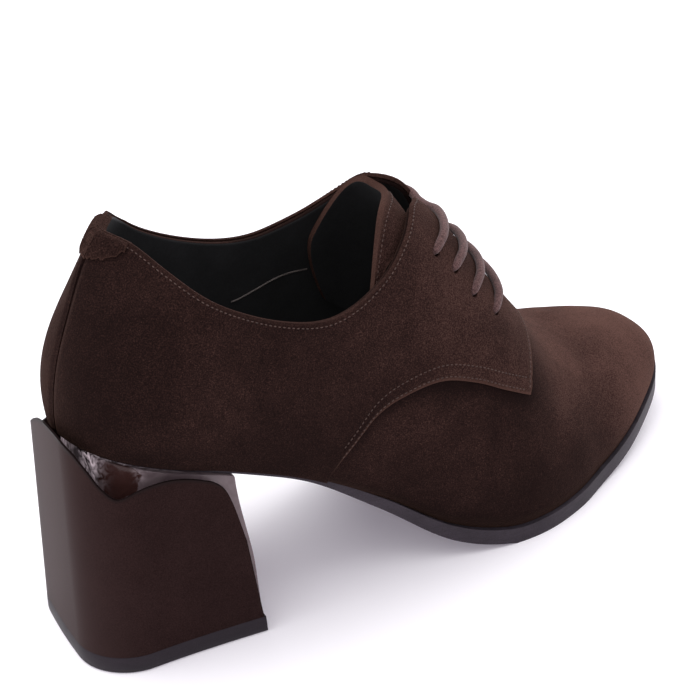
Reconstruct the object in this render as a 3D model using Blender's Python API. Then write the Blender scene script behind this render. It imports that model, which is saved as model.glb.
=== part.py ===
"""Lace-up shoe on a block heel: construction model.

Metres, +Z up, +X towards the toe, +Y towards the inner side of a right shoe.
Sizes below are in millimetres and are turned into metres by MM when a mesh is made.
"""

import math
from collections import namedtuple

import bmesh
import bpy
from mathutils import Vector

MM = 0.001

# Driving dimensions, in millimetres.
HEEL_BACK_X = 9.8        # rearmost point of the upper, at the heel seat
TOE_TIP_X = 234.5        # foremost point of the upper
TOE_AXIS_Y = 4.0         # the toe tip lies a little to the inner side
HEEL_ROUND_X = 45.0      # where the round of the heel's back ends
TOE_ROUND_X = 185.0      # where the round of the toe starts, seen from above
TOE_DROP_X = 195.0       # where the toe box starts to drop, seen from the side
HEEL_ROUND_POWER = 2.4   # the heel's back is blunt at the seat
HEEL_TOP_POWER = 1.25    # and narrow at the tab
TOE_ROUND_POWER = 2.2
LEAN_REACH = 70.0        # how far forward the back's lean fades out
TUCK_SHARE = 0.22        # the lower share of a section's height that tucks in to the sole

WALL = 1.5               # vamp leather with its lining
PANEL_THICK = 1.1        # the quarters' suede
PANEL_GAP = 0.55         # between the quarters and the wall under them
PANEL_STEP = 1.65        # the quarters stand this much proud of the vamp
GAP = 0.3                # clearance between touching pieces
RIM_LIFT = 0.6           # the quarters' folded edge stands above the wall's own rim

TONGUE_THICK = 1.8
TONGUE_GAP = 1.3         # the wall and the tongue are both faceted, so they keep well apart
INSOLE_THICK = 2.2
LACE_RADIUS = 1.4
LACE_DIP = 1.4           # the bars sink this much between the facings
EYELET_RADIUS = 1.8
FACING_TOP_X = 129.0     # the rounded upper end of the facings
THROAT_END_X = 171.5     # the lower end of the throat

LIFT_HEIGHT = 6.0        # rubber top piece under the heel
SHELL_WALL = 1.8         # wrapped cover of the heel
CORE_GAP = 0.5           # between cover and core
CORE_BACK = 4.0          # the core's top lies this far inside the upper's back
HEEL_CORNER = 17.0
HEEL_SKEW = math.radians(5.0)   # the heel's own axis points a little to the outer side
HEEL_PIVOT_X = 28.0
HEEL_BULGE = 2.0         # the heel's back bulges this much in its middle
HEEL_FLARE = 2.6         # the heel widens this much towards its breast, on each side

ORIGIN_X = 117.29        # the middle of the shoe's box, which becomes the origin
ORIGIN_Y = -3.78

# A row for each section of the last, from heel to toe. outer and inner are the half widths
# from the axis, feather is the height of the upper's lower edge, ridge the height of the
# crown (above the collar it is only the height that the section aims at), tuck how much
# narrower the feather is on each side, and power the squareness of the section.
Section = namedtuple("Section", "x axis outer inner feather ridge tuck_outer tuck_inner power")
SECTIONS = (
    Section(9.8, 0.0, 29.0, 28.5, 74.5, 166.0, 2.5, 2.5, 0.75),
    Section(30.0, 0.0, 29.0, 28.5, 66.5, 166.0, 2.5, 2.5, 0.75),
    Section(50.0, 0.0, 30.0, 29.0, 58.0, 168.0, 3.0, 3.5, 0.75),
    Section(75.0, 0.0, 32.0, 29.5, 45.0, 170.0, 4.0, 5.0, 0.75),
    Section(100.0, 0.5, 36.0, 30.5, 28.0, 154.0, 4.0, 5.0, 0.78),
    Section(120.0, 1.0, 42.2, 32.0, 13.2, 128.5, 2.5, 4.0, 0.82),
    Section(139.0, 1.5, 47.2, 33.5, 6.4, 104.2, 1.6, 2.5, 0.86),
    Section(154.0, 2.0, 48.5, 35.5, 5.8, 81.0, 1.2, 1.8, 0.86),
    Section(170.0, 3.0, 46.0, 36.0, 5.8, 58.6, 1.2, 1.5, 0.84),
    Section(185.0, 4.0, 41.0, 34.0, 6.8, 44.6, 1.2, 1.2, 0.82),
    Section(201.0, 4.0, 35.8, 31.2, 9.4, 39.5, 1.2, 1.2, 0.80),
    Section(215.0, 4.0, 31.5, 28.0, 12.4, 39.3, 1.2, 1.2, 0.80),
    Section(226.0, 4.0, 29.4, 25.5, 15.3, 41.0, 1.2, 1.2, 0.80),
    Section(234.5, 4.0, 28.0, 24.0, 17.8, 41.5, 1.2, 1.2, 0.80),
)

# The back seam: how far it lies forward of the heel's rearmost point at each height.
Lean = namedtuple("Lean", "height forward")
BACK_LEAN = (
    Lean(60.0, 1.0),
    Lean(79.0, 0.0),
    Lean(95.0, 3.0),
    Lean(112.0, 9.8),
    Lean(126.0, 16.5),
    Lean(138.0, 25.5),
    Lean(175.0, 56.0),
)

# The collar line, from the back tab to the top of the facings.
Collar = namedtuple("Collar", "x outer inner")
COLLAR = (
    Collar(9.8, 133.0, 133.0),
    Collar(18.0, 130.0, 131.8),
    Collar(28.0, 124.5, 127.4),
    Collar(40.0, 117.5, 120.8),
    Collar(52.0, 111.0, 113.8),
    Collar(71.0, 102.0, 104.6),
    Collar(84.0, 98.3, 99.7),
    Collar(94.5, 99.9, 98.0),
    Collar(105.5, 105.6, 99.2),
    Collar(114.5, 112.4, 102.0),
    Collar(123.0, 116.8, 107.4),
    Collar(129.0, 114.6, 113.6),
)

# The curved seam where the quarters overlap the vamp, from the waist to the flap's corner.
Seam = namedtuple("Seam", "x height")
QUARTER_SEAM = (
    Seam(81.0, 44.0),
    Seam(87.0, 52.0),
    Seam(96.5, 62.0),
    Seam(107.0, 66.5),
    Seam(118.5, 67.8),
    Seam(130.0, 63.5),
    Seam(140.0, 57.3),
    Seam(150.0, 51.2),
)

# The outsole: how thick it is, and how far its edge lies inside (-) or outside the widest line.
Sole = namedtuple("Sole", "x thick edge")
SOLE = (
    Sole(9.8, 2.0, -5.0),
    Sole(60.0, 2.0, -5.0),
    Sole(78.0, 2.2, -5.5),
    Sole(95.0, 4.0, -4.0),
    Sole(112.0, 5.4, -1.6),
    Sole(130.0, 5.5, -0.2),
    Sole(170.0, 5.5, 0.3),
    Sole(234.5, 5.5, 0.5),
)
FLAT_FROM_X = 140.0      # the forefoot's flat spot on the floor
FLAT_TO_X = 168.0

# The heel's block: where its back and breast lie and half its width, at the floor and the seat.
Block = namedtuple("Block", "height back front half")
HEEL_BLOCK = (
    Block(0.0, 2.6, 55.9, 29.8),
    Block(80.0, 7.7, 53.8, 28.3),
)

# The wavy top of the heel's cover on each side, by the share of its way from the front to the back.
Wave = namedtuple("Wave", "share outer inner")
HEEL_WAVE = (
    Wave(0.00, 36.2, 36.2),
    Wave(0.02, 49.0, 49.0),
    Wave(0.04, 55.6, 55.6),
    Wave(0.08, 59.2, 58.2),
    Wave(0.12, 60.8, 59.0),
    Wave(0.20, 63.0, 60.6),
    Wave(0.28, 64.2, 61.8),
    Wave(0.36, 64.4, 62.4),
    Wave(0.44, 63.9, 62.6),
    Wave(0.50, 62.6, 62.4),
    Wave(0.54, 62.6, 62.3),
    Wave(0.60, 66.8, 62.6),
    Wave(0.64, 71.0, 63.6),
    Wave(0.68, 74.2, 65.2),
    Wave(0.72, 76.5, 67.4),
    Wave(0.80, 78.5, 71.8),
    Wave(0.88, 78.8, 75.4),
    Wave(1.00, 78.2, 78.2),
)

# Half the gap between the facings, from the axis to each side's edge, at both ends of the throat.
Throat = namedtuple("Throat", "x outer inner")
THROAT = (
    Throat(FACING_TOP_X, 13.0, 12.0),
    Throat(133.0, 10.6, 6.5),
    Throat(138.0, 9.2, 3.4),
    Throat(THROAT_END_X, 5.0, 2.0),
)

# The pairs of punched holes: station and half width of each hole, and the station where its
# bar of lace crosses the crown. A bar crosses the steep instep squarely, so that lies further forward.
Eyelet = namedtuple("Eyelet", "outer_x outer_half inner_x inner_half crown_x")
EYELETS = (
    Eyelet(125.0, 27.8, 131.5, 14.0, 138.0),
    Eyelet(131.0, 29.0, 138.5, 15.0, 144.5),
    Eyelet(136.0, 31.6, 144.5, 16.0, 149.0),
    Eyelet(143.5, 32.4, 151.5, 17.0, 153.5),
)

# Counts of rows and columns in the meshes.
BACK_STATIONS = 9
COLLAR_STATIONS = 20
THROAT_STATIONS = 10
VAMP_STATIONS = 14
WALL_ROWS = 10
PANEL_COLUMNS = 34
PANEL_ROWS = 8
HEEL_COLUMNS = 28
OUTER, INNER = -1, 1


def smooth(rows, column, at):
    """Value of one named column of a table at a place, on a smooth curve through its rows."""
    places = [row[0] for row in rows]
    values = [getattr(row, column) for row in rows]
    if at <= places[0]:
        return values[0]
    if at >= places[-1]:
        return values[-1]
    last = len(places) - 1
    i = max(k for k in range(last) if places[k] <= at)

    def slope(k):
        low, high = max(k - 1, 0), min(k + 1, last)
        return (values[high] - values[low]) / (places[high] - places[low])

    span = places[i + 1] - places[i]
    t = (at - places[i]) / span
    rise = (1 + 2 * t) * (1 - t) ** 2 * values[i] + t * t * (3 - 2 * t) * values[i + 1]
    lean = t * (1 - t) ** 2 * slope(i) - t * t * (1 - t) * slope(i + 1)
    return rise + lean * span


def blend(t):
    """Smooth step from 0 to 1."""
    t = min(1.0, max(0.0, t))
    return t * t * (3 - 2 * t)


def end_round(x, heel_power=HEEL_ROUND_POWER):
    """Share of the width that the rounds of heel and toe leave at a station."""
    if x < HEEL_ROUND_X:
        far = (HEEL_ROUND_X - x) / (HEEL_ROUND_X - HEEL_BACK_X)
        return max(0.0, 1 - far**heel_power) ** (1 / heel_power)
    if x > TOE_ROUND_X:
        far = (x - TOE_ROUND_X) / (TOE_TIP_X - TOE_ROUND_X)
        return max(0.0, 1 - far**TOE_ROUND_POWER) ** (1 / TOE_ROUND_POWER)
    return 1.0


def crown_height(x):
    """Height of a section's crown above its feather line."""
    rise = smooth(SECTIONS, "ridge", x) - smooth(SECTIONS, "feather", x)
    if x > TOE_DROP_X:
        far = (x - TOE_DROP_X) / (TOE_TIP_X - TOE_DROP_X)
        rise *= math.sqrt(max(0.0, 1 - far * far))
    return rise


def heel_power(height):
    """Bluntness of the heel's back at a height."""
    return HEEL_ROUND_POWER + (HEEL_TOP_POWER - HEEL_ROUND_POWER) * blend((height - 82) / 50)


def side_width(x, side, power=HEEL_ROUND_POWER):
    """Half width of the last on one side, at its widest."""
    return smooth(SECTIONS, "outer" if side == OUTER else "inner", x) * end_round(x, power)


def side_tuck(x, side):
    """How far the feather line lies inside the widest line on one side."""
    tuck = smooth(SECTIONS, "tuck_outer" if side == OUTER else "tuck_inner", x)
    return min(tuck, 0.6 * side_width(x, side))


def last_point(x, turn, side):
    """A point of the upper's surface. turn runs from 0 at the feather line to 1 at the crown."""
    angle = turn * math.pi / 2
    power = smooth(SECTIONS, "power", x)
    share = math.sin(angle) ** power
    height = smooth(SECTIONS, "feather", x) + crown_height(x) * share
    half = side_width(x, side, heel_power(height)) * max(0.0, math.cos(angle)) ** power
    if share < TUCK_SHARE:
        half -= side_tuck(x, side) * (1 - share / TUCK_SHARE) ** 2
    fade = 1 - blend((x - HEEL_BACK_X) / LEAN_REACH)
    forward = smooth(BACK_LEAN, "forward", height) * fade
    return Vector((x + forward, smooth(SECTIONS, "axis", x) + side * half, height))


def turn_at_height(x, height):
    """The turn at which a section reaches a height."""
    share = (height - smooth(SECTIONS, "feather", x)) / crown_height(x)
    share = min(1.0, max(0.0, share))
    return math.asin(share ** (1 / smooth(SECTIONS, "power", x))) / (math.pi / 2)


def turn_at_width(x, side, half):
    """The turn at which a section's upper part comes in to a half width."""
    share = min(1.0, half / side_width(x, side))
    return math.acos(share ** (1 / smooth(SECTIONS, "power", x))) / (math.pi / 2)


def facing_half_gap(x, side):
    """How far a facing's edge lies from the axis at a station of the throat."""
    return smooth(THROAT, "outer" if side == OUTER else "inner", x)


def rim_turn(x, side, lift=0.0):
    """Turn of the upper's top edge: collar, facing edge or, past the throat, the crown."""
    if x <= FACING_TOP_X:
        height = smooth(COLLAR, "outer" if side == OUTER else "inner", x) + lift
        turn = turn_at_height(x, height)
        if x > HEEL_ROUND_X:
            turn = min(turn, turn_at_width(x, side, facing_half_gap(x, side) - lift))
        return turn
    if x <= THROAT_END_X:
        return turn_at_width(x, side, facing_half_gap(x, side) - lift)
    return 1.0


def spread(start, end, count, bunch=0.0):
    """count + 1 places from start to end. bunch above 0 crowds them towards the end."""
    places = []
    for k in range(count + 1):
        t = k / count
        eased = math.sin(t * math.pi / 2)
        places.append(start + (end - start) * (t + (eased - t) * bunch))
    return places


def stations():
    """Places along the shoe from heel to toe, crowded where it is most curved."""
    back = spread(HEEL_ROUND_X, HEEL_BACK_X, BACK_STATIONS, 1.0)[::-1]
    back += spread(HEEL_ROUND_X, FACING_TOP_X, COLLAR_STATIONS)[1:]
    throat = spread(FACING_TOP_X, THROAT_END_X, THROAT_STATIONS)[1:]
    vamp = spread(THROAT_END_X, TOE_TIP_X, VAMP_STATIONS, 1.0)[1:]
    return back + throat + vamp


def new_object(name, bm, material, parent):
    """A named object from a bmesh, smooth shaded, with its place in its mesh."""
    mesh = bpy.data.meshes.new(name)
    bm.to_mesh(mesh)
    bm.free()
    mesh.shade_smooth()
    mesh.set_sharp_from_angle(angle=math.radians(40))
    obj = bpy.data.objects.new(name, mesh)
    bpy.context.scene.collection.objects.link(obj)
    obj.parent = parent
    if material:
        mesh.materials.append(material)
    return obj


def as_helper(obj):
    """Marks an object that only cuts or joins."""
    obj.hide_render = True
    obj.display_type = "WIRE"
    return obj


def loft(rings, closed=False):
    """A bmesh skin through rings of points, given in millimetres."""
    bm = bmesh.new()
    grid = [[bm.verts.new(Vector(point) * MM) for point in ring] for ring in rings]
    size = len(rings[0])
    for first, second in zip(grid, grid[1:]):
        for k in range(size if closed else size - 1):
            m = (k + 1) % size
            bm.faces.new((first[k], first[m], second[m], second[k]))
    bmesh.ops.remove_doubles(bm, verts=bm.verts, dist=0.02 * MM)
    bmesh.ops.dissolve_degenerate(bm, edges=bm.edges, dist=0.005 * MM)
    return bm


def close_ends(bm):
    """Fills the open ends of a lofted tube and turns every face outwards."""
    rim = [edge for edge in bm.edges if edge.is_boundary]
    bmesh.ops.holes_fill(bm, edges=rim)
    bmesh.ops.triangulate(bm, faces=[face for face in bm.faces if len(face.verts) > 4])
    bmesh.ops.recalc_face_normals(bm, faces=bm.faces)
    return bm


def face_outwards(bm, centre):
    """Turns a skin's faces away from a point inside the shoe, in millimetres."""
    bmesh.ops.recalc_face_normals(bm, faces=bm.faces)
    middle = Vector(centre) * MM
    facing = sum((face.calc_center_median() - middle).dot(face.normal) for face in bm.faces)
    if facing < 0:
        bmesh.ops.reverse_faces(bm, faces=bm.faces)
    return bm


def thicken(obj, thick, inside):
    """Gives a skin its wall: inside is how much of it lies within the skin."""
    wall = obj.modifiers.new("wall", "SOLIDIFY")
    wall.thickness = thick * MM
    wall.offset = 1 - 2 * inside / thick
    wall.use_even_offset = True
    wall.thickness_clamp = 0.0
    return obj


def join_in(obj, other, operation):
    """Joins a helper to an object, or cuts it away."""
    cut = obj.modifiers.new(other.name, "BOOLEAN")
    cut.operation = operation
    cut.object = other
    cut.solver = "EXACT"
    return obj


def upper_skin():
    """The upper's outer surface: feather line, outer side, crown or rim, inner side, feather line."""
    rings = []
    for x in stations():
        ring = []
        for side in (OUTER, INNER):
            top = rim_turn(x, side)
            half = [last_point(x, top * k / WALL_ROWS, side) for k in range(WALL_ROWS + 1)]
            ring.append(half)
        rings.append(ring)
    bm = bmesh.new()
    for part in (0, 1):
        skin = loft([ring[part] for ring in rings])
        mesh = bpy.data.meshes.new("half")
        skin.to_mesh(mesh)
        skin.free()
        bm.from_mesh(mesh)
        bpy.data.meshes.remove(mesh)
    bmesh.ops.remove_doubles(bm, verts=bm.verts, dist=0.05 * MM)
    return face_outwards(bm, (120.0, 0.0, 40.0))


def panel_edges(side):
    """The quarter's lower and upper edge as lists of (x, turn), from the back seam to the flap."""
    low, high = [], []
    foot_x, corner_x = QUARTER_SEAM[0].x, QUARTER_SEAM[-1].x
    for k in range(PANEL_COLUMNS + 1):
        t = k / PANEL_COLUMNS
        eased = 1 - math.cos(t * math.pi / 2) if t < 0.5 else t
        share = eased + (t - eased) * blend(2 * t)
        x = HEEL_BACK_X + (corner_x - HEEL_BACK_X) * share
        height = smooth(SECTIONS, "feather", x) + RIM_LIFT
        if x > foot_x:
            height = max(height, smooth(QUARTER_SEAM, "height", x))
        low.append((x, turn_at_height(x, height)))
        top_x = HEEL_BACK_X + (THROAT_END_X - 1.5 - HEEL_BACK_X) * share
        high.append((top_x, rim_turn(top_x, side, RIM_LIFT)))
    return low, high


def quarter_skin(side):
    """One quarter's inner face, from the back seam to the flap, just clear of the wall."""
    columns = []
    for (low_x, low_turn), (high_x, high_turn) in zip(*panel_edges(side)):
        column = []
        for j in range(PANEL_ROWS + 1):
            v = j / PANEL_ROWS
            x = low_x + (high_x - low_x) * v
            turn = low_turn + (high_turn - low_turn) * v
            point = inset_point(x, turn, side, -PANEL_GAP)
            column.append(point + Vector((0, side * GAP / 2, 0)))
        columns.append(column)
    return face_outwards(loft(columns), (80.0, 0.0, 60.0))


def eyelet_places():
    """Place and outward direction of each punched hole, as (point, direction) in millimetres."""
    places = []
    for eyelet in EYELETS:
        for x, half, side in ((eyelet.outer_x, eyelet.outer_half, OUTER), (eyelet.inner_x, eyelet.inner_half, INNER)):
            turn = turn_at_width(x, side, half)
            point = last_point(x, turn, side)
            places.append((point, outward(x, turn, side)))
    return places


def eyelet_cutter(parent):
    """All punched holes as one cutter."""
    bm = bmesh.new()
    for point, out in eyelet_places():
        turn = out.to_track_quat("Z", "Y").to_matrix().to_4x4()
        turn.translation = point * MM
        radius = EYELET_RADIUS * MM
        bmesh.ops.create_cone(bm, cap_ends=True, segments=8, radius1=radius, radius2=radius,
                              depth=8 * MM, matrix=turn)
    return as_helper(new_object("eyelet_cutter", bm, None, parent))


def build_upper(material, parent):
    """The hollow upper: one wall, with the quarters as panels over it and the punched holes."""
    holes = eyelet_cutter(parent)
    upper = thicken(new_object("upper", upper_skin(), material, parent), WALL, WALL)
    join_in(upper, holes, "DIFFERENCE")
    for name, side in (("quarter_outer", OUTER), ("quarter_inner", INNER)):
        quarter = new_object(name, quarter_skin(side), material, parent)
        join_in(thicken(quarter, PANEL_THICK, 0.0), holes, "DIFFERENCE")


def outward(x, turn, side):
    """The direction that the upper's surface faces at a place."""
    along = last_point(x + 0.5, turn, side) - last_point(x - 0.5, turn, side)
    low, high = max(0.0, turn - 0.01), min(1.0, turn + 0.01)
    around = last_point(x, high, side) - last_point(x, low, side)
    out = along.cross(around).normalized()
    if turn > 0.999:
        out = Vector((out.x, 0.0, out.z)).normalized()
    middle = Vector((max(x, HEEL_ROUND_X), smooth(SECTIONS, "axis", x), 0.0))
    middle.z = smooth(SECTIONS, "feather", x) + 0.4 * crown_height(x)
    if out.dot(last_point(x, turn, side) - middle) < 0:
        out.negate()
    return out


def inset_point(x, turn, side, depth):
    """A point under the upper's surface, or over it where the depth is below 0."""
    return last_point(x, turn, side) - outward(x, turn, side) * depth


def build_tongue(material, parent):
    """The wide tongue, lying under the facings and standing above the collar."""
    top_x, outer_x, inner_x = 126.2, 97.4, 110.0
    low_x, top_half, low_half = 180.0, 34.0, 14.0
    columns, rows = 8, 12
    rings = []
    for j in range(rows + 1):
        v = j / rows
        ring = []
        for k in range(-columns, columns + 1):
            c = k / columns
            side = OUTER if c < 0 else INNER
            side_x = outer_x if side == OUTER else inner_x
            start = top_x + (side_x - top_x) * abs(c) ** (1.4 if side == OUTER else 2.2)
            x = start + (low_x - 3 * c * c - start) * v
            half = top_half + (low_half - top_half) * v
            edge = max(turn_at_width(x, side, half), turn_at_height(x, 90 - 0.9 * (x - outer_x)))
            turn = 1 - abs(c) * (1 - edge)
            ring.append(inset_point(x, turn, side, WALL + TONGUE_GAP))
        rings.append(ring)
    skin = face_outwards(loft(rings), (100.0, 0.0, 50.0))
    return thicken(new_object("tongue", skin, material, parent), TONGUE_THICK, TONGUE_THICK)


def floor_rings(places, inset, low, high, narrow=0.0):
    """Closed rings of a flat-lying slab: inset(x, side) is its half width, low and high its heights."""
    rings = []
    for x in places:
        axis = smooth(SECTIONS, "axis", x)
        left, right = axis - inset(x, OUTER), axis + inset(x, INNER)
        rings.append([(x, left, low(x)), (x, right, low(x)), (x, right, high(x)), (x, left, high(x))])
    return rings


def slab_stations(start, end, count):
    """Places along a slab, crowded towards both of its round ends."""
    middle = (start + end) / 2
    back = spread(middle, start, count // 2, 1.0)[::-1]
    return back + spread(middle, end, count // 2, 1.0)[1:]


def end_cap(x, start, end):
    """Share of the width left by a slab's own round ends."""
    reach = 24.0
    near = min(x - start, end - x)
    if near >= reach:
        return 1.0
    far = 1 - max(near, 0.0) / reach
    return math.sqrt(max(0.0, 1 - far * far))


def sole_top(x):
    return smooth(SECTIONS, "feather", x) - GAP


def sole_bottom(x):
    """Underside of the outsole, flat on the floor under the ball."""
    if FLAT_FROM_X <= x <= FLAT_TO_X:
        return 0.0
    return max(0.0, sole_top(x) - smooth(SOLE, "thick", x))


def sole_half(x, side):
    """Half width of the outsole, following the last's own outline."""
    return max(1.0, side_width(x, side) + smooth(SOLE, "edge", x))


def build_outsole(material, parent):
    """The outsole, from the heel seat over the arch to the toe."""
    places = slab_stations(HEEL_BACK_X + 5.0, TOE_TIP_X - 0.2, 48)
    bm = close_ends(loft(floor_rings(places, sole_half, sole_bottom, sole_top), closed=True))
    return new_object("outsole", bm, material, parent)


def build_insole(material, parent):
    """The covered insole that the foot stands on."""
    start, end = HEEL_BACK_X + 6.5, TOE_TIP_X - 7.0

    def half(x, side):
        room = side_width(x, side) - side_tuck(x, side) - WALL - 1.2
        return max(0.8, room * (0.985 if x < 200 else 0.95))

    def low(x):
        return smooth(SECTIONS, "feather", x)

    places = slab_stations(start, end, 36)
    rings = floor_rings(places, half, low, lambda x: low(x) + INSOLE_THICK)
    return new_object("insole", close_ends(loft(rings, closed=True)), material, parent)


def heel_plan(share, z, inset=0.0, retreat=0.0):
    """A point on the heel's outline at a height: share 0 at the outer front, 1 at the inner front."""
    rise = z / HEEL_BLOCK[-1].height
    low, high = HEEL_BLOCK[0], HEEL_BLOCK[-1]
    half = low.half + (high.half - low.half) * rise - inset
    back = low.back + (high.back - low.back) * rise + inset
    front = low.front + (high.front - low.front) * rise - retreat
    corner = HEEL_CORNER - inset
    straight, arc, rear = front - back - corner, corner * math.pi / 2, 2 * (half - corner)
    mirrored = share > 0.5
    way = (1 - share if mirrored else share) * (2 * (straight + arc) + rear)
    if way <= straight:
        x, y = front - way, -half - HEEL_FLARE * (1 - way / straight) ** 1.5
    elif way <= straight + arc:
        angle = (way - straight) / corner
        x, y = back + corner - corner * math.sin(angle), -half + corner - corner * math.cos(angle)
    else:
        x, y = back, -half + corner + (way - straight - arc)
    if way > straight:
        x -= HEEL_BULGE * (1 - (y / half) ** 2)
    y = -y if mirrored else y
    along = x - HEEL_PIVOT_X
    return (HEEL_PIVOT_X + along * math.cos(HEEL_SKEW) + y * math.sin(HEEL_SKEW),
            y * math.cos(HEEL_SKEW) - along * math.sin(HEEL_SKEW))


def heel_shares(count=HEEL_COLUMNS):
    return [k / count for k in range(count + 1)]


def build_top_piece(material, parent):
    """The rubber top piece that the heel stands on."""
    rings = []
    for z, inset in ((0.0, 0.8), (0.8, 0.0), (LIFT_HEIGHT, 0.0)):
        rings.append([(*heel_plan(s, z, inset), z) for s in heel_shares()])
    bm = close_ends(loft(rings, closed=True))
    return new_object("heel_top_piece", bm, material, parent)


def shell_retreat(z):
    """How far the cover's front edge lies behind the heel's breast at a height."""
    return 0.6 + 2.6 * max(0.0, z - LIFT_HEIGHT) / 40.0


def build_heel_shell(material, parent):
    """The wrapped cover of the heel, with its wavy top edge."""
    rows = 3
    low = LIFT_HEIGHT + GAP
    columns = []
    for s in heel_shares(40):
        top = smooth(HEEL_WAVE, "outer" if s < 0.5 else "inner", 2 * min(s, 1 - s))
        column = []
        for j in range(rows + 1):
            z = low + (top - low) * j / rows
            column.append((*heel_plan(s, z, 0.0, shell_retreat(z)), z))
        columns.append(column)
    skin = face_outwards(loft(columns), (30.0, 0.0, 30.0))
    return thicken(new_object("heel_shell", skin, material, parent), SHELL_WALL, SHELL_WALL)


def seat_point(share):
    """A point on the seat's outline under the upper, by the same share as heel_plan."""
    x, y = heel_plan(share, HEEL_BLOCK[-1].height, SHELL_WALL + CORE_GAP)
    back = HEEL_BACK_X + CORE_BACK
    front = HEEL_BLOCK[-1].front
    x = back + (x - HEEL_BLOCK[-1].back) * (front - back) / (front - HEEL_BLOCK[-1].back)
    side = OUTER if y < 0 else INNER
    room = side_width(x, side) - side_tuck(x, side) - 0.8
    return x, max(-room, y) if y < 0 else min(room, y)


def build_heel_core(material, parent):
    """The clear block inside the cover, which shows between cover and upper."""
    low = LIFT_HEIGHT + GAP
    rows = 6
    rings = []
    for j in range(rows + 1):
        v = j / rows
        ring = []
        for s in heel_shares():
            top_x, top_y = seat_point(s)
            z = low + (sole_bottom(top_x) - GAP - low) * v
            x, y = heel_plan(s, z, SHELL_WALL + CORE_GAP)
            pull = blend(1.6 * v - 0.6)
            ring.append((x + (top_x - x) * pull, y + (top_y - y) * pull, z))
        rings.append(ring)
    bm = close_ends(loft(rings, closed=True))
    return new_object("heel_core", bm, material, parent)


def build_back_tab(material, parent):
    """The rounded patch over the top of the back seam."""
    columns, rows = 8, 5
    reach_x, depth = 17.0, 9.5
    parts = []
    for side in (OUTER, INNER):
        part = []
        for k in range(columns + 1):
            c = k / columns
            x = HEEL_BACK_X + (reach_x - HEEL_BACK_X) * c * c
            top = smooth(COLLAR, "outer" if side == OUTER else "inner", x) + RIM_LIFT
            low = top - max(1.5, depth * math.sqrt(max(0.0, 1 - c**2.4)))
            part.append([inset_point(x, turn_at_height(x, low + (top - low) * j / rows), side,
                                     -(PANEL_STEP + GAP)) for j in range(rows + 1)])
        parts = part[::-1] if side == OUTER else parts + part[1:]
    skin = face_outwards(loft(parts), (60.0, 0.0, 110.0))
    return thicken(new_object("back_tab", skin, material, parent), 1.1, 0.0)


def bar_lift(x, turn, side):
    """How far a bar's middle stands off the last: clear of the facings, lower between them."""
    over = last_point(x, turn, side).y - smooth(SECTIONS, "axis", x)
    from_outer = blend((-over - facing_half_gap(x, OUTER) + 5.0) / 6.5)
    from_inner = blend((over + 1.0) / (facing_half_gap(x, INNER) + 2.5))
    return PANEL_STEP + LACE_RADIUS + 0.5 - LACE_DIP * (1 - from_outer) * (1 - from_inner)


def build_lace_bars(material, parent):
    """The straight bars of the lace, each from one punched hole over the throat to the other."""
    steps = 7
    for number, eyelet in enumerate(EYELETS, start=1):
        points = []
        for k in range(-steps, steps + 1):
            c = abs(k / steps)
            side = OUTER if k < 0 else INNER
            hole_x = eyelet.outer_x if side == OUTER else eyelet.inner_x
            half = eyelet.outer_half if side == OUTER else eyelet.inner_half
            x = eyelet.crown_x + (hole_x - eyelet.crown_x) * c * c
            turn = 1 - c * (1 - turn_at_width(x, side, half))
            points.append(inset_point(x, turn, side, -bar_lift(x, turn, side)))
        curve = bpy.data.curves.new(f"lace_bar_{number}", "CURVE")
        curve.dimensions = "3D"
        curve.bevel_depth = LACE_RADIUS * MM
        curve.bevel_resolution = 2
        curve.use_fill_caps = True
        line = curve.splines.new("POLY")
        line.points.add(len(points) - 1)
        for target, point in zip(line.points, points):
            target.co = (*(point * MM), 1.0)
        curve.materials.append(material)
        bar = bpy.data.objects.new(f"lace_bar_{number}", curve)
        bpy.context.scene.collection.objects.link(bar)
        bar.parent = parent


def make_material(name, colour, roughness, transmission=0.0):
    """A plain material in the piece's own colour."""
    material = bpy.data.materials.new(name)
    material.use_nodes = True
    shader = material.node_tree.nodes["Principled BSDF"]
    shader.inputs["Base Color"].default_value = (*colour, 1.0)
    shader.inputs["Roughness"].default_value = roughness
    shader.inputs["Metallic"].default_value = 0.0
    shader.inputs["Transmission Weight"].default_value = transmission
    material.diffuse_color = (*colour, 1.0)
    return material


def main():
    for obj in list(bpy.data.objects):
        bpy.data.objects.remove(obj)
    shoe = bpy.data.objects.new("shoe", None)
    bpy.context.scene.collection.objects.link(shoe)
    shoe.location = (-ORIGIN_X * MM, -ORIGIN_Y * MM, 0.0)
    suede = make_material("brown_suede", (0.040, 0.022, 0.016), 0.95)
    lining = make_material("black_lining", (0.008, 0.008, 0.009), 0.7)
    rubber = make_material("black_rubber", (0.020, 0.020, 0.024), 0.6)
    cover = make_material("brown_heel_cover", (0.035, 0.022, 0.020), 0.4)
    clear = make_material("clear_plastic", (0.80, 0.80, 0.82), 0.05, 1.0)
    cord = make_material("brown_cord", (0.060, 0.035, 0.030), 0.9)
    build_upper(suede, shoe)
    build_tongue(suede, shoe)
    build_insole(lining, shoe)
    build_outsole(rubber, shoe)
    build_heel_core(clear, shoe)
    build_heel_shell(cover, shoe)
    build_top_piece(rubber, shoe)
    build_back_tab(suede, shoe)
    build_lace_bars(cord, shoe)


main()
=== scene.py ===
"""The dressed lace-up shoe on a block heel, built around its packed construction model.

Metres, +Z up, +X towards the toe, +Y towards the inner side of a right shoe. The sizes in the
classes are millimetres in the maker's own frame, whose zero lies behind the heel; scene_places
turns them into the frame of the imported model.
"""

import logging
import math
from dataclasses import dataclass
from enum import Enum

import bmesh
import bpy
import numpy as np
from mathutils import Matrix, Vector

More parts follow.
